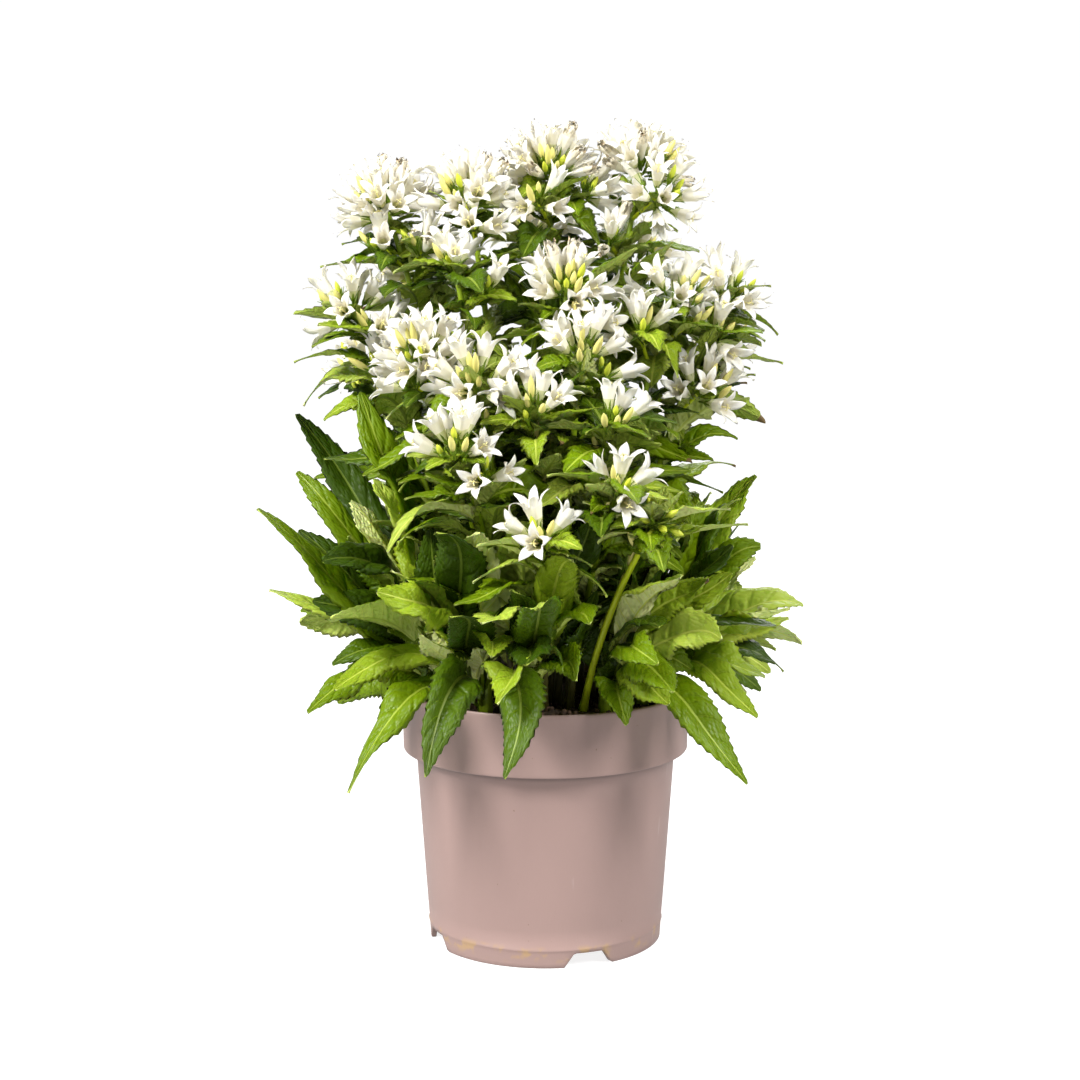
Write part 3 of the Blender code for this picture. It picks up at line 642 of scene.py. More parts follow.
class StemPlace(IntEnum):
    """The finishes of stems and twigs, in order."""

    GREEN = 0
    LIME = 1
    FOOT = 2


STEM_WARDROBE = (
    SoftFinish("stem_green", (0.235, 0.340, 0.006), 0.42, 500.0, (1, 1, 0.12), 0.12),
    SoftFinish("stem_lime", (0.56, 0.66, 0.014), 0.42, 500.0, (1, 1, 0.12), 0.2),
    # the stems' feet: a darker base colour of their own, made darker still as painted shade under the crown
    SoftFinish("stem_foot", (0.085, 0.080, 0.012), 0.5, 500.0, (1, 1, 0.12), 0.05),
)


# ---------------- lines, frames and joined pieces


def unit(vectors: Array) -> Array:
    """A vector, or rows of them, made one long."""
    return vectors / np.maximum(np.linalg.norm(vectors, axis=-1, keepdims=True), 1e-9)


def bearing(azimuth: float, slope: float = 0.0) -> Array:
    """A level vector one long at an azimuth, raised by a slope."""
    return np.array((math.cos(azimuth), math.sin(azimuth), slope))


def beside(azimuth: float) -> Array:
    """The level vector one long that lies square to a bearing."""
    return np.array((-math.sin(azimuth), math.cos(azimuth), 0.0))


def round_turns(count: int) -> Array:
    """Angles spread evenly round a turn."""
    return np.arange(count) * math.tau / count


def upright(heights: Array) -> Array:
    """Points one above the other."""
    return np.stack((heights * 0, heights * 0, heights), 1)


def ring(radius: object, angles: Array, height: object) -> Array:
    """Points round the upright axis, one row an angle."""
    level = np.zeros_like(angles) + height
    return np.stack((radius * np.cos(angles), radius * np.sin(angles), level), 1)


def bezier(start: Array, control: Array, end: Array, shares: Iterable[float]) -> Array:
    """Points on a curve of three knots at places along it, from 0 to 1."""
    t = np.asarray(shares, float)[:, None]
    return start * (1 - t) ** 2 + control * 2 * t * (1 - t) + end * t**2


def frames_along(line: Array, roll: Array) -> tuple[Array, Array, Array]:
    """Runs, sides and uppers square to each other along a line.

    Args:
        line: Its points.
        roll: How far side and upper are turned about the run at each, in radians.

    Returns:
        The three sets of vectors, one row a point.
    """
    run = unit(np.gradient(line, axis=0))
    side = unit(np.cross(run, UPWARD) + 1e-6)
    upper = np.cross(side, run)
    turned = side * np.cos(roll)[:, None] - upper * np.sin(roll)[:, None]
    return run, turned, np.cross(turned, run)


def frame_round(axis: Array, turn: float) -> Array:
    """A turned frame as rows: two vectors across an axis, then the axis."""
    helper = np.array((1.0, 0, 0)) if abs(axis[0]) < 0.8 else np.array((0, 1.0, 0))
    side = unit(np.cross(axis, helper))
    other = np.cross(axis, side)
    first = side * math.cos(turn) + other * math.sin(turn)
    return np.array((first, np.cross(axis, first), axis))


def grid_faces(rows: int, columns: int, closed: bool = False) -> Array:
    """Four-cornered faces over a grid of points kept row by row.

    Args:
        rows: How many rows.
        columns: How many points in a row.
        closed: Whether the last column joins the first.

    Returns:
        The faces' corners, counted so that rows up and columns anticlockwise face out.
    """
    wide = columns if closed else columns - 1
    row, column = np.divmod(np.arange((rows - 1) * wide), wide)
    after = (column + 1) % columns
    low, high = row * columns, (row + 1) * columns
    return np.stack((low + column, low + after, high + after, high + column), 1)


@dataclass
class Mold:
    """A shape to be grown many times: points, four-cornered faces, each face's finish and the blade map."""

    points: Array
    faces: Array
    places: Array
    blade: Array

    def put(self, centre: Array, frame_rows: Array, size: float) -> "Mold":
        """A copy, sized, turned so that its X, Y and Z follow the frame's rows, and set down."""
        return Mold(centre + (self.points * size) @ frame_rows, self.faces, self.places, self.blade)


def plain_mold(points: Array, faces: Array) -> Mold:
    """A mold of one finish, without a blade map."""
    return Mold(points, faces, np.zeros(len(faces), int), np.zeros((len(points), 2)))


def merge(molds: Sequence[Mold]) -> Mold:
    """Several molds as one."""
    starts = np.cumsum([0] + [len(m.points) for m in molds[:-1]])
    faces = np.concatenate([m.faces + start for m, start in zip(molds, starts)])
    columns = [np.concatenate([getattr(m, key) for m in molds]) for key in ("points", "places", "blade")]
    return Mold(columns[0], faces, columns[1], columns[2])


def tube(line: Array, radii: Array, sides: int, place: int, ribs: int = 0, rib_depth: float = 0.0) -> Mold:
    """A round or ribbed tube along a line.

    Args:
        line: Its points.
        radii: Its radius at each.
        sides: Points round it.
        place: The finish it wears.
        ribs: How many ribs run along it.
        rib_depth: How far they stand out, as a share of the radius.

    Returns:
        The tube, with its ends drawn in.
    """
    radii = np.asarray(radii, float)
    line = np.concatenate((line[:1], line, line[-1:]))
    radii = np.concatenate((radii[:1] * 0.05, radii, radii[-1:] * 0.05))
    run = unit(np.gradient(line, axis=0))
    helper = unit(np.array((0.31, 0.95, 0.05)))
    side = unit(np.cross(run, helper))
    other = np.cross(run, side)
    angles = round_turns(sides)
    ribbed = 1 + rib_depth * np.cos(ribs * angles)
    across = side[:, None] * np.cos(angles)[:, None] + other[:, None] * np.sin(angles)[:, None]
    points = line[:, None] + across * (radii[:, None] * ribbed)[..., None]
    faces = grid_faces(len(line), sides, closed=True)
    blade = np.stack(np.meshgrid(np.linspace(-1, 1, sides), np.linspace(0, 1, len(line))), -1)
    return Mold(points.reshape(-1, 3), faces, np.full(len(faces), place), blade.reshape(-1, 2))


@dataclass
class Joined:
    """Pieces of one kind, gathered as they grow and joined into a few meshes."""

    name: str  # what its meshes' names begin with
    slot: str
    wardrobe: Sequence  # its finishes, in the order of the faces' places
    nodes: Sequence[str]  # the solids that it stands for
    parts: list[Mold] = field(default_factory=list)

    def add(self, mold: Mold) -> None:
        """Adds one grown shape."""
        self.parts.append(mold)

    def sheaves(self) -> Iterator[list[Mold]]:
        """The parts, dealt into lots that each make one piece."""
        lot: list[Mold] = []
        count = 0
        for part in self.parts:
            if count + len(part.faces) > PIECE_FACES:
                yield lot
                lot, count = [], 0
            lot.append(part)
            count += len(part.faces)
        if lot:
            yield lot

    def build(self) -> None:
        """Makes the joined meshes and lets each ride the plant's one body."""
        materials = [finish.build() for finish in self.wardrobe]
        for number, lot in enumerate(self.sheaves(), 1):
            whole = merge(lot)
            obj = mesh_object(f"{self.name}_{number}", whole.points, whole.faces, materials)
            obj.data.polygons.foreach_set("material_index", whole.places.astype(np.int32))
            corners = whole.blade[whole.faces.reshape(-1)]
            layer = obj.data.uv_layers.new(name="blade")
            layer.data.foreach_set("uv", corners.astype(np.float32).reshape(-1))
            obj.data.update()
            join_plant(obj, self.slot, self.nodes)


def mesh_object(name: str, points: Array, faces: Array, materials: Sequence[Material]) -> bpy.types.Object:
    """Makes a smooth mesh object from four-cornered faces.

    Args:
        name: Its name.
        points: Its points.
        faces: Its faces' corners.
        materials: What it wears.

    Returns:
        The object, linked to the scene.
    """
    mesh = bpy.data.meshes.new(name)
    mesh.vertices.add(len(points))
    mesh.vertices.foreach_set("co", np.ascontiguousarray(points, np.float32).reshape(-1))
    mesh.loops.add(faces.size)
    mesh.loops.foreach_set("vertex_index", np.ascontiguousarray(faces, np.int32).reshape(-1))
    mesh.polygons.add(len(faces))
    mesh.polygons.foreach_set("loop_start", np.arange(0, faces.size, 4, dtype=np.int32))
    mesh.polygons.foreach_set("loop_total", np.full(len(faces), 4, np.int32))
    mesh.update(calc_edges=True)
    mesh.validate()
    mesh.shade_smooth()
    for material in materials:
        mesh.materials.append(material)
    obj = bpy.data.objects.new(name, mesh)
    bpy.context.scene.collection.objects.link(obj)
    return obj


def join_plant(obj: bpy.types.Object, slot: str, nodes: Sequence[str]) -> None:
    """Lets a piece ride the plant's body, hides the solids that it stands for, and reports it.

    Args:
        obj: The piece.
        slot: The record's slot for its finish; not used.
        nodes: The solids that it stands for.
    """
    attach(obj, "root")
    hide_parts(*nodes)
    LOG.info("%s: %d faces for %d solids", obj.name, len(obj.data.polygons), len(nodes))


@dataclass
class Clearance:
    """What stands where, as coarse shapes, so that what grows next can turn aside."""

    lows: list[Array] = field(default_factory=list)
    highs: list[Array] = field(default_factory=list)
    trees: list[BVHTree] = field(default_factory=list)

    def take(self, points: Array, faces: Sequence) -> None:
        """Fills the place of a coarse shape."""
        self.lows.append(points.min(0))
        self.highs.append(points.max(0))
        self.trees.append(BVHTree.FromPolygons(points.tolist(), faces))

    def meets(self, points: Array, faces: Sequence) -> int:
        """How many shapes a coarse shape runs into.

        Args:
            points: Its points.
            faces: Its faces.

        Returns:
            The count.
        """
        if not self.trees:
            return 0
        apart = (np.array(self.lows) > points.max(0)) | (np.array(self.highs) < points.min(0))
        near = np.nonzero(~apart.any(1))[0]
        if not len(near):
            return 0
        tree = BVHTree.FromPolygons(points.tolist(), faces)
        return sum(1 for i in near if tree.overlap(self.trees[i]))


# ---------------- leaves


@dataclass(frozen=True)
class LeafPlan:
    """Where one leaf grows: its line, width, roll and tone."""

    start: Array
    control: Array
    end: Array
    width: float
    roll: float
    tone: Tone
    sway: float = 0.0
    dip: float = 0.0
    droop: float = 0.0

    def line(self, shares: Iterable[float]) -> Array:
        """Points along its middle, which sways to the side, dips and droops by shares of its length."""
        t = np.asarray(shares, float)[:, None]
        chord = self.end - self.start
        reach = np.linalg.norm(chord)
        aside = unit(np.cross(chord, UPWARD)) * self.sway * np.sin(math.tau * t)
        down = UPWARD * (self.dip * np.sin(math.tau * t**1.4) - self.droop * t**4)
        return bezier(self.start, self.control, self.end, shares) + (aside + down) * reach

    def length(self) -> float:
        """Its length along its middle."""
        steps = np.diff(self.line(np.linspace(0, 1, 9)), axis=0)
        return float(np.linalg.norm(steps, axis=1).sum())


@dataclass
class Blade:
    """The make of a kind of leaf. Heights are shares of its half width and depths are in metres."""

    teeth: int = 13
    petiole: float = 0.2  # share of its length before the blade starts
    free_from: float = 0.42  # share of its length from which it keeps clear of others
    belly: float = 0.62  # the lower, the fuller the blade is near its base
    point: float = 0.95  # the higher, the finer its tip is drawn out
    fold: float = 0.36
    bulge: float = 0.12
    margin_roll: float = 0.2
    wave: float = 0.13
    tooth: float = 0.05
    pucker: float = 0.05
    twist: float = 0.9
    thickness: float = 0.28 * MM
    rib: float = 0.45 * MM
    rib_columns: float = 0.2  # columns nearer the middle than this stand over the rib
    tip_half: float = 0.25 * MM
    tooth_lean: float = 0.45
    petiole_half: float = 1.1 * MM
    petiole_thickness: float = 1.6 * MM
    columns: tuple[float, ...] = (-1, -0.88, -0.48, -0.055, 0.055, 0.48, 0.88, 1)
    veins: int = 0
    vein_half: float = 0.17 * MM  # on a leaf as wide as veined_width
    veined_width: float = 25 * MM
    vein_lift: float = 0.14 * MM
    vein_lean: float = 0.15

    def outline(self, shares: Array) -> Array:
        """Half widths along the blade, at most 1."""
        s = np.clip(shares, 0, 1)
        peak = self.belly / (self.belly + self.point)
        top = peak**self.belly * (1 - peak) ** self.point
        return s**self.belly * (1 - s) ** self.point / top

    def grow(self, plan: LeafPlan, rng: Dice, brown: int = 0) -> Mold:
        """Makes one leaf.

        Args:
            plan: Where it grows.
            rng: The seeded dice.
            brown: How many rows at its tip are dead.

        Returns:
            The leaf, with an upper and an under side that meet at its margin.
        """
        stalk = np.array((0, 0.4, 0.8)) * self.petiole
        along_blade = np.linspace(0, 1, 2 * self.teeth + 1)
        shares = np.concatenate((stalk, self.petiole + (1 - self.petiole) * along_blade))
        full = np.concatenate((np.zeros(len(stalk)), self.outline(along_blade)))
        half = np.maximum(full * plan.width / 2, self.petiole_half * (1 - 0.75 * shares))
        half[-1] = self.tip_half
        twist = rng.uniform(-self.twist, self.twist)
        line = plan.line(shares)
        run, side, upper = frames_along(line, plan.roll + twist * (shares - 0.5))
        height = self.relief(shares, full, rng)
        out, ahead = self.margins(full, plan.length(), len(stalk), rng)
        across = out * half[:, None]
        rise = upper[:, None] * (height * half[:, None])[..., None]
        top = line[:, None] + side[:, None] * across[..., None] + rise
        top = top + run[:, None] * ahead[..., None]
        middle = np.abs(self.columns) < self.rib_columns
        top[:, middle] -= upper[:, None] * (0.3 * self.rib * full[:, None])[..., None]
        under = top - upper[:, None] * self.thick(shares, full, middle)[..., None]
        skin = self.skin(plan.tone, top, under[:, 1:-1], len(stalk), brown)
        if not self.veins:
            return skin
        lift = upper[len(stalk):] * self.vein_lift
        above = tone_places(min(plan.tone + 1, Tone.LIME))[Side.UPPER]
        below = tone_places(min(plan.tone + 2, Tone.LIME))[Side.RIB]
        lines = [self.vein_lines(top[len(stalk):], lift, plan.width, above)]
        lines.append(self.vein_lines(under[len(stalk):], lift * -2, plan.width, below))
        return merge([skin, *lines])

    def relief(self, shares: Array, full: Array, rng: Dice) -> Array:
        """How high the blade stands over its line, from its fold, quilting, rolled margins and waves.

        Args:
            shares: The rows' places along the leaf.
            full: How wide the blade is at each, at most 1.
            rng: The seeded dice.

        Returns:
            Heights as shares of the half width, row by row.
        """
        v = np.array(self.columns)
        span = np.abs(v)
        phases = (rng.uniform(0, math.tau), rng.uniform(0, math.tau))
        waves = rng.uniform(1.6, 3.2)
        fold = self.fold * rng.uniform(0.4, 1.5)
        margin_roll = self.margin_roll * rng.uniform(0.3, 2.0)
        wave = self.wave * rng.uniform(0.4, 1.8)
        open_share = full[:, None]
        s = (shares[:, None] - self.petiole) / (1 - self.petiole)
        height = fold * span + self.bulge * (1 - (2 * span - 1) ** 2) - margin_roll * span**5
        height = height[None] * open_share
        phase = np.where(v < 0, *phases)
        height += wave * span**2 * np.sin(math.tau * waves * s + phase) * open_share
        pucker = self.pucker * np.sin(math.pi * span) * np.cos(math.tau * (7 * s - 1.1 * span))
        return height + pucker * open_share

    def margins(self, full: Array, length: float, stalk: int, rng: Dice) -> tuple[Array, Array]:
        """Cuts the teeth.

        Args:
            full: How wide the blade is at each row, at most 1.
            length: The leaf's length.
            stalk: How many rows are petiole.
            rng: The seeded dice.

        Returns:
            How far out each column stands, as a share of the half width, and how far ahead it leans.
        """
        rows = len(full)
        jitter = np.array([rng.uniform(-1, 1) for _ in range(2 * rows)]).reshape(rows, 2)
        out = np.repeat(np.array(self.columns)[None], rows, 0)
        ahead = np.zeros(out.shape)
        tips = np.zeros(rows)
        tips[stalk + 1::2] = 1
        wide = full > 0.05
        depth = self.tooth * (0.6 + 0.4 * full) * wide
        for column, sign, lane in ((0, -1, 0), (-1, 1, 1)):
            out[:, column] += sign * (tips * depth * 2 - depth) * (1 + 0.5 * jitter[:, lane])
            ahead[:, column] = tips * self.tooth_lean / (2 * self.teeth) * length * wide
        return out, ahead

    def thick(self, shares: Array, full: Array, middle: Array) -> Array:
        """How thick the leaf is, row by row: a thin blade, a round petiole and a rib between them.

        Args:
            shares: The rows' places along the leaf.
            full: How wide the blade is at each, at most 1.
            middle: Which columns the rib runs under.

        Returns:
            The thicknesses in metres.
        """
        thick = self.thickness + (self.petiole_thickness - self.thickness) * (1 - full[:, None]) ** 6
        thick = np.repeat(thick, len(self.columns), 1)
        thick[:, middle] += self.rib * (1 - 0.7 * shares[:, None])
        return thick

    def vein_lines(self, sheet: Array, lift: Array, width: float, place: int) -> Mold:
        """Fine strips along the side veins, a hair over one side of the blade.

        Args:
            sheet: That side's points, row by row.
            lift: How far off it the strips stand, for each row.
            width: The leaf's width.
            place: The finish they wear.

        Returns:
            The strips.
        """
        rows, wide = sheet.shape[:2]
        across = np.array(self.columns)
        spans = np.array((0.1, 0.3, 0.5, 0.7, 0.86))
        breadth = self.vein_half * np.array((1.0, 0.9, 0.75, 0.6, 0.35)) * width / self.veined_width
        strips = []
        for number in range(self.veins):
            start = 0.03 + 0.72 * number / self.veins
            for sign in (-1, 1):
                v = sign * spans
                s = (start + 0.02 * (sign > 0) + self.vein_lean * spans**1.3) * (rows - 1)
                row = np.clip(s.astype(int), 0, rows - 2)
                column = np.clip(np.searchsorted(across, v) - 1, 0, wide - 2)
                f = (s - row)[:, None]
                g = ((v - across[column]) / (across[column + 1] - across[column]))[:, None]
                low = sheet[row, column] * (1 - g) + sheet[row, column + 1] * g
                high = sheet[row + 1, column] * (1 - g) + sheet[row + 1, column + 1] * g
                centre = low * (1 - f) + high * f + lift[row]
                run = unit(np.gradient(centre, axis=0))
                level = np.cross(run, unit(lift[row])) * breadth[:, None]
                points = np.stack((centre - level, centre + level), 1).reshape(-1, 3)
                faces = grid_faces(len(spans), 2)
                if lift[0] @ np.cross(points[1] - points[0], points[2] - points[0]) < 0:
                    faces = faces[:, ::-1]
                blade = np.stack((np.repeat(v, 2), np.repeat(s / rows, 2)), 1)
                strips.append(Mold(points, faces, np.full(len(faces), place), blade))
        return merge(strips)

    def skin(self, tone: Tone, top: Array, under: Array, stalk_rows: int, brown: int) -> Mold:
        """Joins the upper and under points at the margin and deals out the finishes.

        Args:
            tone: The leaf's green.
            top: The upper side's points, row by row.
            under: The under side's points without the margins.
            stalk_rows: How many rows are petiole.
            brown: How many rows at the tip are dead.

        Returns:
            The leaf.
        """
        rows, wide = top.shape[:2]
        upper_numbers = np.arange(rows * wide).reshape(rows, wide)
        under_numbers = upper_numbers.copy()
        under_numbers[:, 1:-1] = rows * wide + np.arange(rows * (wide - 2)).reshape(rows, wide - 2)
        plain = grid_faces(rows, wide)
        faces = np.concatenate((plain, under_numbers.reshape(-1)[plain][:, [0, 3, 2, 1]]))
        row, column = np.divmod(np.arange(len(plain)), wide - 1)
        upper_place, under_place, rib_place = tone_places(tone)
        rib = column == (wide - 1) // 2
        stalk = row < stalk_rows - 1
        dead = row >= rows - 1 - brown
        sides = []
        for place in (upper_place, under_place):
            living = np.where(stalk, STALK_PLACE, np.where(rib, rib_place, place))
            sides.append(np.where(dead, BROWN_PLACE, living))
        shares = np.linspace(0, 1, rows)
        blade = np.stack(np.meshgrid(self.columns, shares), -1)
        points = np.concatenate((top.reshape(-1, 3), under.reshape(-1, 3)))
        blades = np.concatenate((blade.reshape(-1, 2), blade[:, 1:-1].reshape(-1, 2)))
        return Mold(points, faces, np.concatenate(sides), blades)

    def coarse(self, plan: LeafPlan) -> Solid:
        """The leaf's outer part as a plain folded strip, for the test of clear space."""
        shares = np.linspace(self.free_from, 1, 4)
        line = plan.line(shares)
        _, side, upper = frames_along(line, np.full(len(shares), plan.roll))
        full = self.outline((shares - self.petiole) / (1 - self.petiole))
        half = np.maximum(full * plan.width / 2, 0.4 * MM)
        wide = side * (half * 0.9)[:, None]
        rise = upper * (half * self.fold * 0.8)[:, None]
        points = np.stack((line - wide + rise, line, line + wide + rise), 1).reshape(-1, 3)
        return points, grid_faces(len(shares), 3).tolist()


NARROW_COLUMNS = (-1, -0.55, -0.08, 0.08, 0.55, 1)
LONG_LEAF = {"teeth": 17, "petiole": 0.24, "veins": 7, "bulge": 0.2, "wave": 0.2}
STEM_BLADE = Blade(
    teeth=13, petiole=0.06, free_from=0.3, belly=0.55, point=0.9, tooth=0.06, veins=5, fold=0.46, wave=0.18,
    columns=NARROW_COLUMNS,
)
HANGING_BLADE = Blade(**LONG_LEAF, belly=0.58, point=0.9, fold=0.6, margin_roll=0.34, twist=1.4)
BASAL_BLADE = Blade(**LONG_LEAF, belly=0.62, point=0.8, tooth=0.045, fold=0.48, margin_roll=0.3, twist=1.2)
BRACT_BLADE = Blade(teeth=7, petiole=0.03, belly=0.6, point=1.0, tooth=0.08, columns=NARROW_COLUMNS)


# ---------------- blossom


class Stage(Enum):
    """How far a bell has opened or gone over."""

    OPEN = "open"
    HALF = "half"
    FADED = "faded"


@dataclass(frozen=True)
class Opening:
    """What a stage does to a bell: its lobes' slopes at root and tip in degrees, its sizes and finishes."""

    slopes: tuple[float, float]
    mouth: float
    length: float
    fresh: PetalPlace
    worn: PetalPlace


STAGES = {
    Stage.OPEN: Opening((20, 82), 1.0, 1.0, PetalPlace.WHITE, PetalPlace.AGED),
    Stage.HALF: Opening((12, 46), 0.9, 1.0, PetalPlace.WHITE, PetalPlace.AGED),
    Stage.FADED: Opening((6, -30), 0.72, 0.85, PetalPlace.AGED, PetalPlace.WITHERED),
}


@dataclass
class Bell:
    """The corolla: a funnel that parts into five pointed lobes. Its sizes are in millimetres."""

    funnel: tuple = ((0.0, 2.3), (3.5, 3.4), (8.0, 4.3), (12.5, 5.1), (16.5, 6.0))
    throat_bands: int = 2
    lobes: int = 5
    lobe_columns: int = 4
    lobe_rows: int = 6
    lobe_length: float = 12.4
    lobe_half: float = 3.9
    widest: float = 0.62
    tip_half: float = 0.12
    thickness: float = 0.35
    ridge: float = 0.16
    crush: float = 1.5
    worn_lobes: float = 0.2

    def mold(self, stage: Stage, rng: Dice) -> Mold:
        """Makes one bell with its mouth up.

        Args:
            stage: How far it has opened.
            rng: The seeded dice.

        Returns:
            The bell in metres, with an inner and an outer side.
        """
        around = self.lobes * self.lobe_columns
        wide = self.lobe_columns + 1
        mouth = (len(self.funnel) - 1) * around
        sheets = [self.tube(stage)]
        faces = [grid_faces(len(self.funnel), around, closed=True)]
        places = [np.full(len(faces[0]), PetalPlace.CREAM)]
        places[0][: around * self.throat_bands] = PetalPlace.THROAT
        plain = grid_faces(self.lobe_rows + 1, wide)
        edge = np.zeros((self.lobe_rows, wide), bool)
        edge[:, (0, -1)] = True
        edge[-1] = True
        for number in range(self.lobes):
            points, normals, blade = self.lobe(number, stage, rng)
            first = (number * self.lobe_columns - self.lobe_columns // 2) % around
            root = mouth + (first + np.arange(wide)) % around
            start = sum(len(sheet[0]) for sheet in sheets)
            faces.append(np.concatenate((root, start + np.arange(len(points))))[plain])
            places.append(np.full(len(plain), STAGES[stage].fresh))
            if rng.random() < self.worn_lobes:
                places[-1][-self.lobe_columns:] = STAGES[stage].worn
            sheets.append((points, normals, edge.reshape(-1), blade))
        return self.lined([np.concatenate(lot) for lot in (*zip(*sheets), faces, places)], stage)

    def tube(self, stage: Stage) -> tuple[Array, Array, Array, Array]:
        """The funnel's outer side.

        Args:
            stage: How far the bell has opened.

        Returns:
            Its points, the ways its inner side lies, which points both sides share, and its blade map.
        """
        rows = len(self.funnel)
        angles = round_turns(self.lobes * self.lobe_columns)
        rings = []
        for height, radius in self.funnel:
            ridge = 1 + self.ridge * np.cos(self.lobes * angles) * height / self.funnel[-1][0]
            rings.append(ring(radius * STAGES[stage].mouth * ridge, angles, height))
        points = np.concatenate(rings)
        inward = np.tile(ring(-1, angles, 0.15), (rows, 1))
        blade = np.stack(np.meshgrid(np.sin(self.lobes * angles), np.linspace(0, 0.5, rows)), -1)
        return points, inward, np.zeros(len(points), bool), blade.reshape(-1, 2)

    def lobe(self, number: int, stage: Stage, rng: Dice) -> tuple[Array, Array, Array]:
        """One lobe's rows beyond the mouth.

        Args:
            number: The lobe.
            stage: How far the bell has opened.
            rng: The seeded dice.

        Returns:
            Its points, the ways its inner side faces, and its blade map.
        """
        opening = STAGES[stage]
        sway = rng.uniform(-9, 9)
        start = math.radians(opening.slopes[0] + sway)
        end = math.radians(opening.slopes[1] + sway + rng.uniform(-14, 14))
        step = self.lobe_length * rng.uniform(0.92, 1.08) * opening.length / self.lobe_rows
        full = self.lobe_half * rng.uniform(0.94, 1.08) * opening.mouth
        shares = np.linspace(0, 1, self.lobe_rows + 1)
        bend = start + (end - start) * shares**1.3
        middle = (bend[1:] + bend[:-1]) / 2
        height, mouth = self.funnel[-1]
        mouth = mouth * opening.mouth
        out = mouth + np.concatenate(([0], np.cumsum(np.sin(middle) * step)))
        up = height + np.concatenate(([0], np.cumsum(np.cos(middle) * step)))
        gap = math.pi / self.lobes
        root = mouth * math.sin(gap)
        swell = np.sin(np.minimum(shares / self.widest, 1) * math.pi / 2)
        half = (root + (full - root) * swell) * (1 - shares**2.7)
        half[-1] = self.tip_half
        angle = math.tau * number / self.lobes
        inner = -np.cos(bend)[:, None] * bearing(angle) + np.sin(bend)[:, None] * UPWARD
        u, t = np.linspace(-1, 1, self.lobe_columns + 1), shares[:, None]
        rim = mouth * (1 - np.cos(gap * u)) * (1 - 0.6 * t)
        crease = (0.35 * np.abs(u) ** 1.5 - 0.10 * u**4) * np.sin(np.pi * np.minimum(t + 0.15, 1)) * 1.6
        twist = rng.uniform(-0.9, 0.9) * t**2 * u
        ruffle = 0.35 * rng.uniform(0.3, 1.4) * np.sin(t * 9 + u * 2 + rng.uniform(0, 6)) * np.abs(u)
        points = (out[:, None] - rim)[..., None] * bearing(angle) + up[:, None, None] * UPWARD
        points = points + (half[:, None] * u)[..., None] * beside(angle)
        points = points + inner[:, None] * (crease + twist + ruffle * t)[..., None]
        if stage is Stage.FADED:
            crush = [rng.uniform(-self.crush, self.crush) for _ in range(points.size)]
            points = points + np.array(crush).reshape(points.shape) * t[..., None]
        normals = np.repeat(inner[:, None], len(u), 1)
        blade = np.stack(np.meshgrid(u, 0.5 + 0.5 * shares), -1)
        return points[1:].reshape(-1, 3), normals[1:].reshape(-1, 3), blade[1:].reshape(-1, 2)

    def lined(self, outside: Sequence[Array], stage: Stage) -> Mold:
        """Gives the bell its inner side, which meets the outer one along the lobes' edges.

        Args:
            outside: The outer side's points, the ways its inner side lies, which points both sides
                share, the blade map, the faces and their finishes.
            stage: How far it has opened.

        Returns:
            The bell in metres.
        """
        outer, within, edge, blade, faces, places = outside
        numbers = np.arange(len(outer))
        numbers[~edge] = len(outer) + np.arange((~edge).sum())
        inner = outer[~edge] + within[~edge] * self.thickness
        inner_places = places.copy()
        if stage is Stage.FADED:
            places[: len(places) // 3] = PetalPlace.CREAM
        faces = np.concatenate((faces, numbers[faces][:, [0, 3, 2, 1]]))
        places = np.concatenate((places, inner_places))
        points = np.concatenate((outer, inner)) * MM
        return Mold(points, faces, places, np.concatenate((blade, blade[~edge])))


@dataclass
class Calyx:
    """The green under a bell or bud: a stalk, a cup and five spiky teeth. Its sizes are in millimetres."""

    teeth: int = 5
    cup: tuple = ((-9.0, 0.8), (-4.0, 0.9), (-2.6, 1.9), (-0.8, 2.5), (0.6, 2.3))
    cup_sides: int = 8
    tooth_foot: tuple[float, float] = (2.1, -0.6)  # how far out and up a tooth starts
    tooth_half: float = 1.15

    def mold(self, length: float, spread: float, rng: Dice) -> Mold:
        """Makes one calyx.

        Args:
            length: Its teeth's length in millimetres.
            spread: How far they lean out, in radians.
            rng: The seeded dice.

        Returns:
            The calyx in metres.
        """
        heights, radii = np.array(self.cup).T * MM
        molds = [tube(upright(heights), radii, self.cup_sides, GreenPlace.CALYX)]
        foot_out, foot_up = self.tooth_foot
        for tooth in range(self.teeth):
            angle = math.tau * (tooth + 0.5) / self.teeth + rng.uniform(-0.15, 0.15)
            lean = spread + rng.uniform(-0.12, 0.18)
            shares = np.array((0, 0.3, 0.65, 1.0))
            out = (foot_out + length * shares * np.sin(lean * (0.5 + shares))) * MM
            up = (foot_up + length * shares * np.cos(lean * (0.5 + shares))) * MM
            centre = out[:, None] * bearing(angle) + up[:, None] * UPWARD
            half = self.tooth_half * np.array((1.0, 0.85, 0.5, 0.08)) * MM
            aside = half[:, None] * beside(angle)
            keel = bearing(angle) * 0.45 * MM
            points = np.stack((centre - aside, centre + keel, centre + aside, centre - keel * 0.3), 1)
            points = points.reshape(-1, 3)
            faces = grid_faces(len(shares), 4, closed=True)
            blade = np.zeros((len(points), 2))
            molds.append(Mold(points, faces, np.full(len(faces), GreenPlace.CALYX), blade))
        return merge(molds)


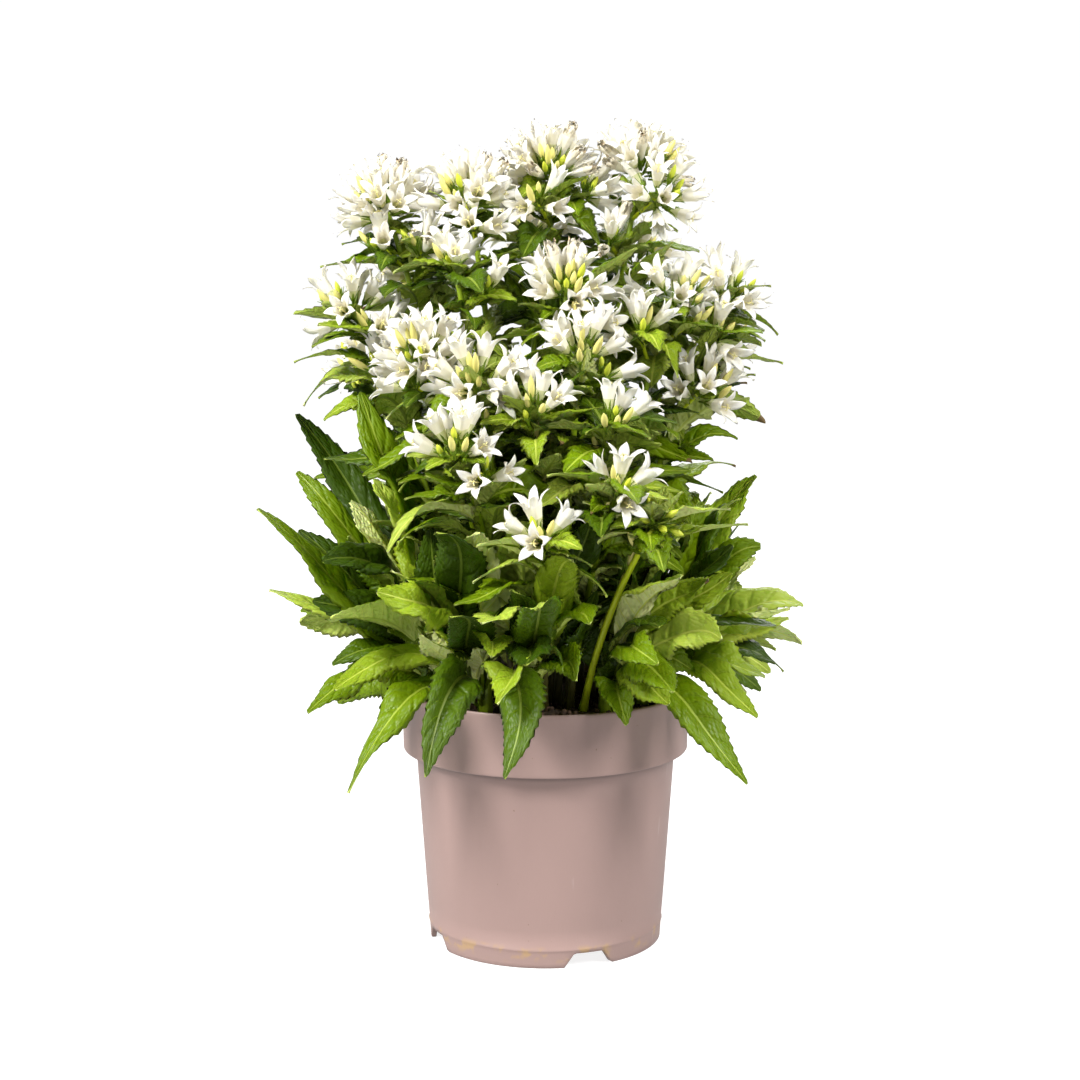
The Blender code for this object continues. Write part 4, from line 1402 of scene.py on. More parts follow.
@dataclass
class Style:
    """The yellow style in a bell's mouth, with stigmas that curl back. Its sizes are in millimetres."""

    foot: float = 1.5
    length: float = 19.5
    radius: float = 0.55
    stigmas: int = 3
    stigma: float = 3.0

    def mold(self) -> Mold:
        """Makes the style in metres."""
        heights = np.linspace(self.foot, self.length, 4) * MM
        molds = [tube(upright(heights), np.full(4, self.radius * MM), 5, GreenPlace.STYLE)]
        for arm in range(self.stigmas):
            angle = math.tau * arm / self.stigmas + 0.4
            out = np.array((0, 0.45, 0.8, 0.9)) * self.stigma * MM
            up = (self.length + np.array((0, 0.6, 0.5, 0.1)) * self.stigma) * MM
            curl = out[:, None] * bearing(angle) + up[:, None] * UPWARD
            molds.append(tube(curl, np.array((0.5, 0.5, 0.42, 0.3)) * MM, 4, GreenPlace.STYLE))
        return merge(molds)


@dataclass
class Bud:
    """A closed bud: five soft ribs drawn up to a point."""

    shape: tuple = (
        (0.0, 0.55), (0.14, 0.82), (0.36, 1.0), (0.6, 0.92), (0.8, 0.62), (0.93, 0.28), (1.0, 0.06)
    )  # shares of the length and of the half width
    sides: int = 10

    def mold(self, length: float, radius: float, place: GreenPlace) -> Mold:
        """Makes one bud.

        Args:
            length: Its length in millimetres.
            radius: Its half width in millimetres.
            place: The finish it wears.

        Returns:
            The bud in metres.
        """
        along, out = np.array(self.shape).T
        heights, radii = along * length * MM, out * radius * MM
        return tube(upright(heights), radii, self.sides, place, ribs=5, rib_depth=0.07)


@dataclass
class BlossomKit:
    """Bells, calyxes and buds cast once and set many times."""

    bells: dict[Stage, list[Mold]]
    calyxes: list[Mold]
    bud_calyxes: list[Mold]
    style: Mold
    cream_buds: list[Mold]
    green_buds: list[Mold]
    slim_buds: list[Mold]

    @classmethod
    def cast(cls, rng: Dice) -> "BlossomKit":
        """Args:
            rng: The seeded dice.
        """
        counts = {Stage.OPEN: 9, Stage.HALF: 3, Stage.FADED: 3}
        bell, calyx, bud = Bell(), Calyx(), Bud()
        bells = {stage: [bell.mold(stage, rng) for _ in range(count)] for stage, count in counts.items()}
        calyxes = [calyx.mold(9.0, 0.24, rng) for _ in range(4)]
        bud_calyxes = [calyx.mold(6.5, 0.3, rng) for _ in range(3)]
        cream = [bud.mold(length, 2.0, GreenPlace.BUD_CREAM) for length in (9.5, 12, 14.5)]
        green = [bud.mold(length, 1.9, GreenPlace.BUD_GREEN) for length in (8, 10.5)]
        slim = [bud.mold(length, 2.3, GreenPlace.BUD_CREAM) for length in (16, 19)]
        return cls(bells, calyxes, bud_calyxes, Style().mold(), cream, green, slim)


# ---------------- the plant's parts


@dataclass
class Garden:
    """What every part of the plant grows into: the joined kinds and the room that is taken."""

    leaves: Joined
    petals: Joined
    greens: Joined
    stems: Joined
    kit: BlossomKit
    solid: Clearance
    foliage: Clearance
    mouths: list[Array] = field(default_factory=list)

    def leaf(self, blade: Blade, plans: Sequence[LeafPlan], rng: Dice, allowed: int, brown: int = 0) -> bool:
        """Grows the first plan that stands clear, or else the first that brushes few enough leaves.

        Args:
            blade: The kind of leaf.
            plans: Where it may grow, the best first.
            rng: The seeded dice.
            allowed: How many other leaves it may brush.
            brown: How many rows at its tip are dead.

        Returns:
            Whether one grew.
        """
        chosen = None
        for plan in plans:
            shape = blade.coarse(plan)
            if self.solid.meets(*shape):
                continue
            brushed = self.foliage.meets(*shape)
            if brushed == 0 or (brushed <= allowed and chosen is None):
                chosen = (plan, shape)
            if brushed == 0:
                break
        if chosen is None:
            return False
        plan, shape = chosen
        self.leaves.add(blade.grow(plan, rng, brown))
        self.foliage.take(*shape)
        return True


@dataclass(frozen=True)
class StemLine:
    """The line that a stem follows from its foot on the compost to the middle of its head."""

    head: Array

    def foot(self) -> Array:
        """Where it stands."""
        return np.array((self.head[0] * FOOT_SHARE, self.head[1] * FOOT_SHARE, COMPOST_TOP))

    def at(self, shares: Iterable[float]) -> Array:
        """Points at shares of it."""
        foot = self.foot()
        control = foot + (self.head - foot) * np.array((BOW_OUT, BOW_OUT, BOW_UP))
        return bezier(foot, control, self.head, shares)

    def below(self, drop: float) -> float:
        """The share of it that lies a drop below its head."""
        return 1 - drop / (self.head[2] - COMPOST_TOP)

    def lean(self) -> Array:
        """The way it points at its head."""
        ends = self.at((0.9, 1.0))
        return unit(ends[1] - ends[0])


@dataclass
class FlowerHead:
    """Bells crowded round the end of a stem or spray, with buds between them and bracts below."""

    centre: Array
    axis: Array
    bells: int
    buds: int = 2
    faded: float = 0.0
    core: float = 12 * MM
    spray_core: float = 7 * MM
    large: int = 8  # heads of more blossoms than this spread as far as a ball
    small: int = 5  # and those of no more than this sit on a spray's narrow core
    bell_sizes: tuple[float, float] = (0.77, 0.93)
    cup_room: tuple[float, float] = (2.5, 1.0)  # a bell's coarse funnel: radius and height of each end
    mouth_room: tuple[float, float] = (11.5, 21.0)
    spread: float = math.radians(104)
    spray_spread: float = math.radians(76)
    nearest_mouths: float = 11 * MM
    mouth_out: float = 18 * MM
    crowding: float = 1.15  # bells tried for each that the stem's table counts
    half_open: float = 0.12  # share of bells that are only half open
    lift: float = 0.3  # how far a bell turns up from the way it stands out
    window: float = math.radians(31)  # half the width of the gap that the buds fill
    window_front: float = 70 * MM

    def directions(self, count: int, rng: Dice) -> Iterator[Array]:
        """Ways spread evenly over a cap of a ball round the axis, by the golden angle.

        Args:
            count: How many.
            rng: The seeded dice.

        Yields:
            Vectors one long.
        """
        spread = self.spread if count > self.large else self.spray_spread
        rows = frame_round(self.axis, rng.uniform(0, math.tau))
        for i in range(count):
            cosine = 1 - (1 - math.cos(spread)) * (i + 0.5) / count
            sine = math.sqrt(1 - cosine * cosine)
            angle = i * GOLDEN_ANGLE + rng.uniform(-0.12, 0.12)
            yield unit(np.array((sine * math.cos(angle), sine * math.sin(angle), cosine)) @ rows)

    def grow(self, garden: Garden, rng: Dice) -> int:
        """Sets the bells and buds.

        Args:
            garden: What they grow into.
            rng: The seeded dice.

        Returns:
            How many bells were set.
        """
        core = self.core if self.bells > self.small else self.spray_core
        outward = self.window_way()
        count = 0
        for direction in self.directions(round(self.bells * self.crowding), rng):
            if direction @ outward < math.cos(self.window):
                count += self.set_bell(garden, direction, core, rng)
        self.set_buds(garden, outward, core, rng)
        return count

    def window_way(self) -> Array:
        """The way that the buds' gap faces: outward, a little up, and towards the best side."""
        level = np.array((self.centre[0], self.centre[1] - self.window_front, 0.0))
        return unit(unit(level) + UPWARD * 0.45)

    def set_bell(self, garden: Garden, direction: Array, core: float, rng: Dice) -> bool:
        """Sets one bell where its mouth has room.

        Args:
            garden: What it grows into.
            direction: The way it faces.
            core: How far its cup stands from the head's middle.
            rng: The seeded dice.

        Returns:
            Whether it was set.
        """
        base = self.centre + direction * core * rng.uniform(0.8, 1.25)
        if rng.random() < self.faded:
            stage = Stage.FADED
        else:
            stage = rng.choices((Stage.OPEN, Stage.HALF), (1 - self.half_open, self.half_open))[0]
        size = rng.uniform(*self.bell_sizes)
        direction = unit(direction + UPWARD * self.lift)
        mouth = base + direction * self.mouth_out * size
        if any(np.linalg.norm(mouth - other) < self.nearest_mouths for other in garden.mouths):
            return False
        rows = frame_round(direction, rng.uniform(0, math.tau))
        room = self.coarse_bell(base, rows, size)
        if garden.foliage.meets(*room):
            return False
        garden.mouths.append(mouth)
        garden.petals.add(rng.choice(garden.kit.bells[stage]).put(base, rows, size))
        garden.greens.add(rng.choice(garden.kit.calyxes).put(base, rows, size))
        if stage is Stage.OPEN:
            garden.greens.add(garden.kit.style.put(base, rows, size))
        garden.solid.take(*room)
        return True

    def coarse_bell(self, base: Array, rows: Array, size: float) -> Solid:
        """A plain funnel in a bell's place, for the test of clear space."""
        angles = round_turns(6)
        ends = [ring(radius, angles, height) for radius, height in (self.cup_room, self.mouth_room)]
        points = base + np.concatenate(ends) * MM * size @ rows
        return points, grid_faces(len(ends), len(angles), closed=True).tolist()

    def set_buds(self, garden: Garden, outward: Array, core: float, rng: Dice) -> None:
        """Sets buds upright in the gap between the bells.

        Args:
            garden: What they grow into.
            outward: The way that the gap faces.
            core: How far a cup stands from the head's middle.
            rng: The seeded dice.
        """
        rows = frame_round(outward, rng.uniform(0, math.tau))
        for i in range(self.buds):
            tilt = self.window * 0.95 * math.sqrt((i + 0.5) / self.buds)
            way = (math.sin(tilt) * bearing(i * GOLDEN_ANGLE) + math.cos(tilt) * UPWARD) @ rows
            base = self.centre + way * core * rng.uniform(1.1, 1.7)
            stand = frame_round(unit(way + UPWARD * rng.uniform(0.5, 1.1)), rng.uniform(0, math.tau))
            buds = rng.choices((garden.kit.cream_buds, garden.kit.green_buds), (0.6, 0.4))[0]
            garden.greens.add(rng.choice(buds).put(base, stand, rng.uniform(0.85, 1.15)))
            garden.greens.add(rng.choice(garden.kit.bud_calyxes).put(base, stand, 0.85))


def browned(share: float, rng: Dice) -> int:
    """How many rows at a leaf's tip are dead: a row or two on a share of the leaves."""
    return rng.choice((1, 2)) if rng.random() < share else 0


@dataclass(frozen=True)
class LeafShape:
    """What a stem leaf is like, wherever it turns: its bend down and its roll are in radians."""

    length: float
    bend: float
    width: float
    roll: float
    tone: Tone
    folds: tuple = ()


@dataclass
class Shoot:
    """One flowering stem with its leaves, sprays, bracts and head."""

    name: str
    line: StemLine
    bells: int
    sprays: tuple
    rows: int = 22
    sides: int = 10
    radius: float = 2.5 * MM
    tip_radius: float = 1.7 * MM
    root_flare: float = 1.5
    twig_radius: float = 1.3 * MM
    # below this height the stems wear the foot finish: their darker bases, with painted shade under the
    # crown
    dark_and_shaded_below: float = 204 * MM
    spray_rise: float = 0.75
    mass_start: float = 0.3
    leaves: int = 11
    low_leaves: int = 3
    leaf_length: float = 82 * MM
    leaf_width: float = 32 * MM
    browned: float = 0.05
    tall: float = 0.47
    tall_age: tuple = (("faded", 0.12), ("half_open", 0.45), ("crowding", 1.9))
    young_age: tuple = (("faded", 0.015),)
    axil_below: float = 0.37
    axil_drop: tuple[float, float] = (24, 17)  # the first bud's drop below the head, and each next step
    axil_buds: int = 3
    bracts: int = 7
    tip_bracts: int = 9
    spray_bracts: int = 4
    bract_length: float = 39 * MM
    bract_width: float = 22 * MM
    bract_tones: tuple = (3, 4, 4, 0.6, 0)  # how likely each green after the darkest is
    shifts: tuple = ((0, 1), (0.35, 0.95), (-0.35, 0.95), (0.7, 0.85), (-0.7, 0.85), (1.2, 0.7), (0, 0.6))

    def stem(self, garden: Garden) -> None:
        """Makes the stem and the sprays' twigs."""
        shares = np.linspace(0, 1, self.rows)
        radii = self.radius + (self.tip_radius - self.radius) * shares
        radii = radii * (1 + (self.root_flare - 1) * np.exp(-shares * 40))
        place = StemPlace.LIME if self.name == BUD_SHOOT else StemPlace.GREEN
        stem = tube(self.line.at(shares), radii, self.sides, place, ribs=5, rib_depth=0.08)
        # painted shade in part: the stems go dark below this height
        if place is StemPlace.GREEN:
            stem.places[stem.points[stem.faces].mean(1)[:, 2] < self.dark_and_shaded_below] = StemPlace.FOOT
        garden.stems.add(stem)
        for root, end, _ in self.spray_ends():
            twig = np.linspace(root, end, 5)
            radii = np.full(len(twig), self.twig_radius)
            garden.stems.add(tube(twig, radii, 8, StemPlace.LIME, ribs=4, rib_depth=0.06))

    def spray_ends(self) -> Iterator[tuple[Array, Array, int]]:
        """Each spray's root, end and count of bells."""
        for drop, azimuth, reach, bells in self.sprays:
            root = self.line.at((self.line.below(drop * MM),))[0]
            out = unit(bearing(math.radians(azimuth), self.spray_rise))
            yield root, root + out * reach * MM, bells

    def blossom(self, garden: Garden, rng: Dice) -> int:
        """Sets the head and the sprays' smaller heads, and returns how many bells they hold."""
        age = dict(self.tall_age if self.line.head[2] > self.tall else self.young_age)
        count = 0
        if self.bells:
            buds = 2 + self.bells // 3
            count += FlowerHead(self.line.head, self.line.lean(), self.bells, buds, **age).grow(garden, rng)
        for root, end, bells in self.spray_ends():
            count += FlowerHead(end, unit(end - root), bells, 1 + bells // 3, **age).grow(garden, rng)
        if self.line.head[2] < self.axil_below:
            self.bud_axils(garden, rng)
        return count

    def bud_axils(self, garden: Garden, rng: Dice) -> None:
        """Sets long slim buds, one by one, up a low stem."""
        first, step = self.axil_drop
        for i in range(self.axil_buds):
            root = self.line.at((self.line.below((first + step * i) * MM),))[0]
            way = unit(bearing(rng.uniform(0, math.tau), rng.uniform(1.2, 2.4)))
            base = root + way * 8 * MM
            rows = frame_round(way, rng.uniform(0, math.tau))
            size = rng.uniform(0.75, 1.0)
            garden.greens.add(rng.choice(garden.kit.slim_buds).put(base, rows, size))
            garden.greens.add(rng.choice(garden.kit.bud_calyxes).put(base, rows, size))

    def plans(self, root: Array, azimuth: float, rise: float, shape: LeafShape) -> list[LeafPlan]:
        """A leaf's first place and those it may turn aside to.

        Args:
            root: Where it grows.
            azimuth: The way it goes at first.
            rise: Its slope at the root, in radians.
            shape: What it is like.

        Returns:
            The plans, the best first.
        """
        plans = []
        for turn, size in self.shifts:
            length = shape.length * size
            bent = root + unit(bearing(azimuth + turn, math.tan(rise))) * length * 0.45
            end = bent + unit(bearing(azimuth + turn, math.tan(rise - shape.bend))) * length * 0.55
            between = bent * 2 - (root + end) / 2
            width = shape.width * size
            plans.append(LeafPlan(root, between, end, width, shape.roll, shape.tone, *shape.folds))
        return plans

    def foliage(self, garden: Garden, rng: Dice) -> int:
        """Grows the leaves up the stem by the golden angle, smaller and fresher towards the head.

        Args:
            garden: What they grow into.
            rng: The seeded dice.

        Returns:
            How many grew.
        """
        turn = rng.uniform(0, math.tau)
        grown = 0
        for i in range(-self.low_leaves, self.leaves):
            along = (i + 0.4) / self.leaves
            share = max(self.mass_start + (0.93 - self.mass_start) * along, 0.05)
            root = self.line.at((share,))[0]
            size = (1.15 - 0.42 * along) * rng.uniform(0.85, 1.1)
            azimuth = turn + i * GOLDEN_ANGLE
            rise = math.radians(rng.uniform(18, 50) + 40 * max(0.5 - along, 0))
            bend = math.radians(rng.uniform(15, 55))
            tone = rng.choices(tuple(Tone), self.tone_weights(along))[0]
            width = self.leaf_width * size * rng.uniform(0.85, 1.1)
            folds = (rng.uniform(-0.05, 0.05), rng.uniform(-0.03, 0.05), rng.uniform(0, 0.14))
            shape = LeafShape(self.leaf_length * size, bend, width, rng.uniform(-0.7, 0.7), tone, folds)
            plans = self.plans(root, azimuth, rise, shape)
            grown += garden.leaf(STEM_BLADE, plans, rng, allowed=1, brown=browned(self.browned, rng))
        return grown

    def tone_weights(self, along: float) -> tuple[float, ...]:
        """How likely each green is at a share of the way up: the fresher ones more so near the head."""
        up = max(along, 0)
        return (2.5 - up, 3.2, 4, 2 + up, 0.4 + up, 0.1 + 0.2 * up)

    def collar(self, garden: Garden, rng: Dice) -> int:
        """Grows the bracts that stand out under the head and under each spray's head."""
        places = [(self.line.head, self.line.lean(), self.bracts if self.bells else self.tip_bracts)]
        places += [(end, unit(end - root), self.spray_bracts) for root, end, _ in self.spray_ends()]
        grown = 0
        for centre, axis, count in places:
            turn = rng.uniform(0, math.tau)
            for i in range(count):
                root = centre - axis * rng.uniform(2, 20) * MM
                size = rng.uniform(0.75, 1.3)
                rise = math.radians(rng.uniform(0, 45))
                tone = rng.choices(tuple(Tone)[1:], self.bract_tones)[0]
                bend, roll = math.radians(rng.uniform(0, 40)), rng.uniform(-0.4, 0.4)
                shape = LeafShape(self.bract_length * size, bend, self.bract_width * size, roll, tone)
                plans = self.plans(root, turn + i * GOLDEN_ANGLE, rise, shape)
                grown += garden.leaf(BRACT_BLADE, plans, rng, allowed=1)
        return grown

    def bud_tip(self, garden: Garden, rng: Dice) -> None:
        """Crowds green buds round the end of a shoot that has not flowered yet."""
        head = FlowerHead(self.line.head, self.line.lean(), 0)
        for way in head.directions(9, rng):
            rows = frame_round(way, rng.uniform(0, math.tau))
            base = self.line.head + way * rng.uniform(5, 9) * MM
            garden.greens.add(rng.choice(garden.kit.green_buds).put(base, rows, rng.uniform(0.9, 1.2)))
            garden.greens.add(rng.choice(garden.kit.bud_calyxes).put(base, rows, 1.0))


@dataclass
class BasalTuft:
    """The crown of one sector and the long-stalked leaves that grow from it."""

    number: int
    foot: Array
    crown_radius: float = 4.5 * MM
    root_aside: float = 0.4
    low_tip: float = 120 * MM
    high_tip: float = 360 * MM
    hanging_tip: float = 160 * MM
    lowest_root: float = 0.15
    root_span: float = 0.7
    seeded: int = 13
    inner: int = 9
    front: float = math.radians(-90)
    bare_front: float = math.radians(75)  # how far round the rim hangs free of seeded leaves
    deep_front: float = math.radians(32)  # and how far the leaves there are dark ones
    skirt: float = 186
    skirt_lift: float = 44
    skirt_trim: float = 0.84
    steep: float = 235
    turned_over: float = 0.5
    deep_turned: float = 0.85
    tones: tuple = (3, 3, 3, 3.5, 3.5, 0.8)  # how likely each green is
    deep_tones: tuple = (6, 4, 2, 0.7, 0.2, 0)
    browned: float = 0.06
    side_roll: float = 0.55
    shifts: tuple = (
        (0, 1, 0), (0.1, 1, 0), (-0.1, 1, 0), (0.2, 0.95, 6), (-0.2, 0.95, 12), (0, 0.85, 18),
        (0.3, 0.75, 24),
    )  # the ways that a leaf may turn aside: turn, size and lift in millimetres

    def crown(self, garden: Garden) -> None:
        """Makes the short crown."""
        line = self.foot + np.linspace(0, 1, 6)[:, None] * UPWARD * CROWN_HEIGHT
        radii = self.crown_radius * np.array((1.0, 1.08, 1.02, 0.94, 0.85, 0.7))
        garden.stems.add(tube(line, radii, 12, StemPlace.GREEN, ribs=6, rib_depth=0.12))

    def root(self, azimuth: float, height: float) -> Array:
        """Where a leaf grows: on the side that it leaves by, and higher the higher its tip."""
        share = min(max((height - self.low_tip) / (self.high_tip - self.low_tip), 0), 1)
        up = CROWN_HEIGHT * (self.lowest_root + self.root_span * share)
        return self.foot + bearing(azimuth) * self.root_aside * self.crown_radius + UPWARD * up

    def grow_leaf(
        self, garden: Garden, rng: Dice, tip: Point, shape: Point, tone: Tone, allowed: int
    ) -> bool:
        """Grows a long leaf to a tip, or near it.

        Args:
            garden: What it grows into.
            rng: The seeded dice.
            tip: The tip's azimuth, reach and height.
            shape: The leaf's width, arch and roll.
            tone: Its green.
            allowed: How many leaves it may brush.

        Returns:
            Whether it grew.
        """
        azimuth, reach, height = tip
        width, arch, roll = shape
        root = self.root(azimuth, height)
        plans = []
        folds = (rng.uniform(-0.06, 0.06), rng.uniform(-0.03, 0.04))
        for turn, size, lift in self.shifts:
            end = bearing(azimuth + turn) * reach * size + UPWARD * (height + lift * MM)
            control = (root + end) / 2 + UPWARD * arch * np.linalg.norm(end - root) * 2
            plans.append(LeafPlan(root, control, end, width * size, roll, tone, *folds))
        brown = browned(self.browned, rng) if allowed < OUTLINE_BRUSH else 0
        blade = HANGING_BLADE if height < self.hanging_tip else BASAL_BLADE
        return garden.leaf(blade, plans, rng, allowed, brown)

    def draw_outline(self, garden: Garden, rng: Dice) -> int:
        """Grows the leaves of this sector that draw the plant's outline."""
        grown = 0
        for azimuth, reach, height, width, arch, roll, tone in OUTLINE_LEAVES:
            angle = math.radians(azimuth)
            if sector_of(angle) == self.number:
                tip, shape = (angle, reach * MM, height * MM), (width * MM, arch, roll)
                grown += self.grow_leaf(garden, rng, tip, shape, tone, OUTLINE_BRUSH)
        return grown

    def fill(self, garden: Garden, rng: Dice) -> int:
        """Grows the seeded leaves of this sector, layer by layer."""
        grown = 0
        for k in range(self.seeded):
            reach, height, arch = BASAL_LAYERS[(k + 3 * self.number) % len(BASAL_LAYERS)]
            angle = (self.number + rng.uniform(0.02, 0.98)) * math.tau / BASAL_SECTORS
            reach *= rng.uniform(0.86, 1.04)
            height += rng.uniform(-12, 12)
            width = rng.uniform(25, 36)
            from_front = abs(math.remainder(angle - self.front, math.tau))
            if height < self.skirt and from_front < self.bare_front:
                height += self.skirt_lift
                reach *= self.skirt_trim
                width *= self.skirt_trim
            deep = from_front < self.deep_front
            roll = self.facing(angle, height, self.deep_turned if deep else self.turned_over, rng)
            tone = rng.choices(tuple(Tone), self.deep_tones if deep else self.tones)[0]
            tip, shape = (angle, reach * MM, height * MM), (width * MM, arch, roll)
            grown += self.grow_leaf(garden, rng, tip, shape, tone, 1)
        return grown

    def facing(self, angle: float, height: float, turned: float, rng: Dice) -> float:
        """How far a leaf is rolled: flat ones to their own side, and a share of steep ones right over.

        Args:
            angle: The azimuth that it grows on.
            height: How high its tip is, in millimetres.
            turned: The share of steep ones.
            rng: The seeded dice.

        Returns:
            The roll in radians.
        """
        if height > self.steep and rng.random() < turned:
            return math.pi + rng.uniform(-0.5, 0.5)
        sideways = self.side_roll * math.cos(angle) * math.copysign(1, math.sin(angle))
        return rng.uniform(-0.6, 0.6) - sideways

    def fill_heart(self, garden: Garden, rng: Dice) -> int:
        """Grows the shaded leaves that stand up between the stems."""
        grown = 0
        for _ in range(self.inner):
            angle = (self.number + rng.random()) * math.tau / BASAL_SECTORS
            tip = (angle, rng.uniform(70, 118) * MM, rng.uniform(190, 285) * MM)
            shape = (rng.uniform(22, 30) * MM, rng.uniform(0.02, 0.12), math.pi + rng.uniform(-0.5, 0.5))
            tone = rng.choices((Tone.DARK, Tone.DEEP, Tone.MIDDLE), (5, 3, 1))[0]
            grown += self.grow_leaf(garden, rng, tip, shape, tone, 2)
        return grown


def sector_of(azimuth: float) -> int:
    """The sector that an azimuth lies in."""
    return int((azimuth % math.tau) / math.tau * BASAL_SECTORS) % BASAL_SECTORS


# ---------------- pot, compost and studio


@dataclass
class Pot:
    """The turned pot: a tapered body under a deep rim, on a notched foot."""

    steps: int = 240
    rim_bottom: float = POT_HEIGHT - RIM_HEIGHT
    rim_wall: float = 2.2 * MM
    lip: float = 1.2 * MM
    body_top: float = 86 * MM
    base: float = 77 * MM
    wall: float = 2.0 * MM
    ledge: float = 2.0 * MM
    foot_width: float = 3.2 * MM
    floor: float = 2.0 * MM
    line_height: float = 11.5 * MM
    line_depth: float = 0.5 * MM
    notches: int = 4
    first_notch: float = math.radians(-68.7)
    notch_width: float = 33 * MM
    notch_top_width: float = 20 * MM
    notch_height: float = 9.5 * MM

    def body_radius(self, height: float) -> float:
        """Outer radius of the body at a height."""
        return self.base + (self.body_top - self.base) * height / self.rim_bottom

    def fillet(
        self, centre: tuple[float, float], radius: float, start: float, end: float, count: int = 5
    ) -> list[tuple[float, float]]:
        """Profile points round part of a circle.

        Args:
            centre: The circle's middle.
            radius: Its radius.
            start: The first point's angle in degrees.
            end: The last point's.
            count: How many points.

        Returns:
            Their radii and heights.
        """
        angles = np.radians(np.linspace(start, end, count))
        return [(centre[0] + radius * math.cos(a), centre[1] + radius * math.sin(a)) for a in angles]

    def profile(self) -> list[tuple[float, float]]:
        """Radius and height from inside the floor, over the rim and down to the floor's underside."""
        floor_top = FOOT_HEIGHT + self.floor
        inner = RIM_RADIUS - self.rim_wall
        skirt = RIM_RADIUS - self.lip / 2
        round_top = self.rim_wall / 2
        soft = 0.5 * MM
        line_radius = self.body_radius(self.line_height)
        foot = self.base - self.foot_width
        return [
            (0.5 * MM, floor_top),
            (self.body_radius(floor_top) - self.wall, floor_top),
            (self.body_top - self.wall, self.rim_bottom + self.ledge),
            (inner, self.rim_bottom + self.ledge + self.rim_wall),
            (inner, POT_HEIGHT - 3 * MM),
            *self.fillet((RIM_RADIUS - round_top, POT_HEIGHT - round_top), round_top, 180, 0, 9),
            (RIM_RADIUS - 0.05 * MM, POT_HEIGHT - 3.0 * MM),
            (RIM_RADIUS - 0.25 * MM, POT_HEIGHT - 3.4 * MM),
            (skirt, self.rim_bottom + 3 * MM),
            *self.fillet((skirt - 1.2 * MM, self.rim_bottom + 1.2 * MM), 1.2 * MM, 0, -90),
            (self.body_top + soft, self.rim_bottom),
            (self.body_top - 0.05 * MM, self.rim_bottom - soft),
            *((self.body_radius(height * MM), height * MM) for height in (110, 80, 50, 25)),
            (line_radius, self.line_height + self.line_depth + 0.6 * MM),
            (line_radius + self.line_depth, self.line_height + self.line_depth),
            (line_radius + 0.1 * MM, self.line_height - 0.3 * MM),
            *((self.body_radius(height * MM), height * MM) for height in (9.5, 6, 3, 0.4)),
            (self.base - 0.4 * MM, 0),
            (foot + 0.3 * MM, 0),
            *((foot, height * MM) for height in (0.4, 3, 6, 9.5)),
            (foot, FOOT_HEIGHT),
            (0.5 * MM, FOOT_HEIGHT),
        ]

    def notch(self, angle: float) -> float:
        """How high the foot is cut away at an angle."""
        gap = math.tau / self.notches
        off = abs((angle - self.first_notch + gap / 2) % gap - gap / 2) * self.base
        slope = (self.notch_width - self.notch_top_width) / 2
        return min(max((self.notch_width / 2 - off) / slope, 0), 1) * self.notch_height

    def build(self) -> None:
        """Turns the profile, cuts the notches and joins the plant."""
        angles = round_turns(self.steps)
        cut = np.array([self.notch(angle) for angle in angles])
        rows = []
        for radius, height in self.profile():
            foot = radius > self.base - self.foot_width - 0.1 * MM and height < self.notch_height
            rows.append(ring(radius, angles, np.maximum(height, cut) if foot else height))
        points = np.concatenate(rows[::-1])
        faces = grid_faces(len(rows), self.steps, closed=True)
        obj = mesh_object("pot_body", points, faces, [PotFinish().build()])
        join_plant(obj, "pot", ["pot"])


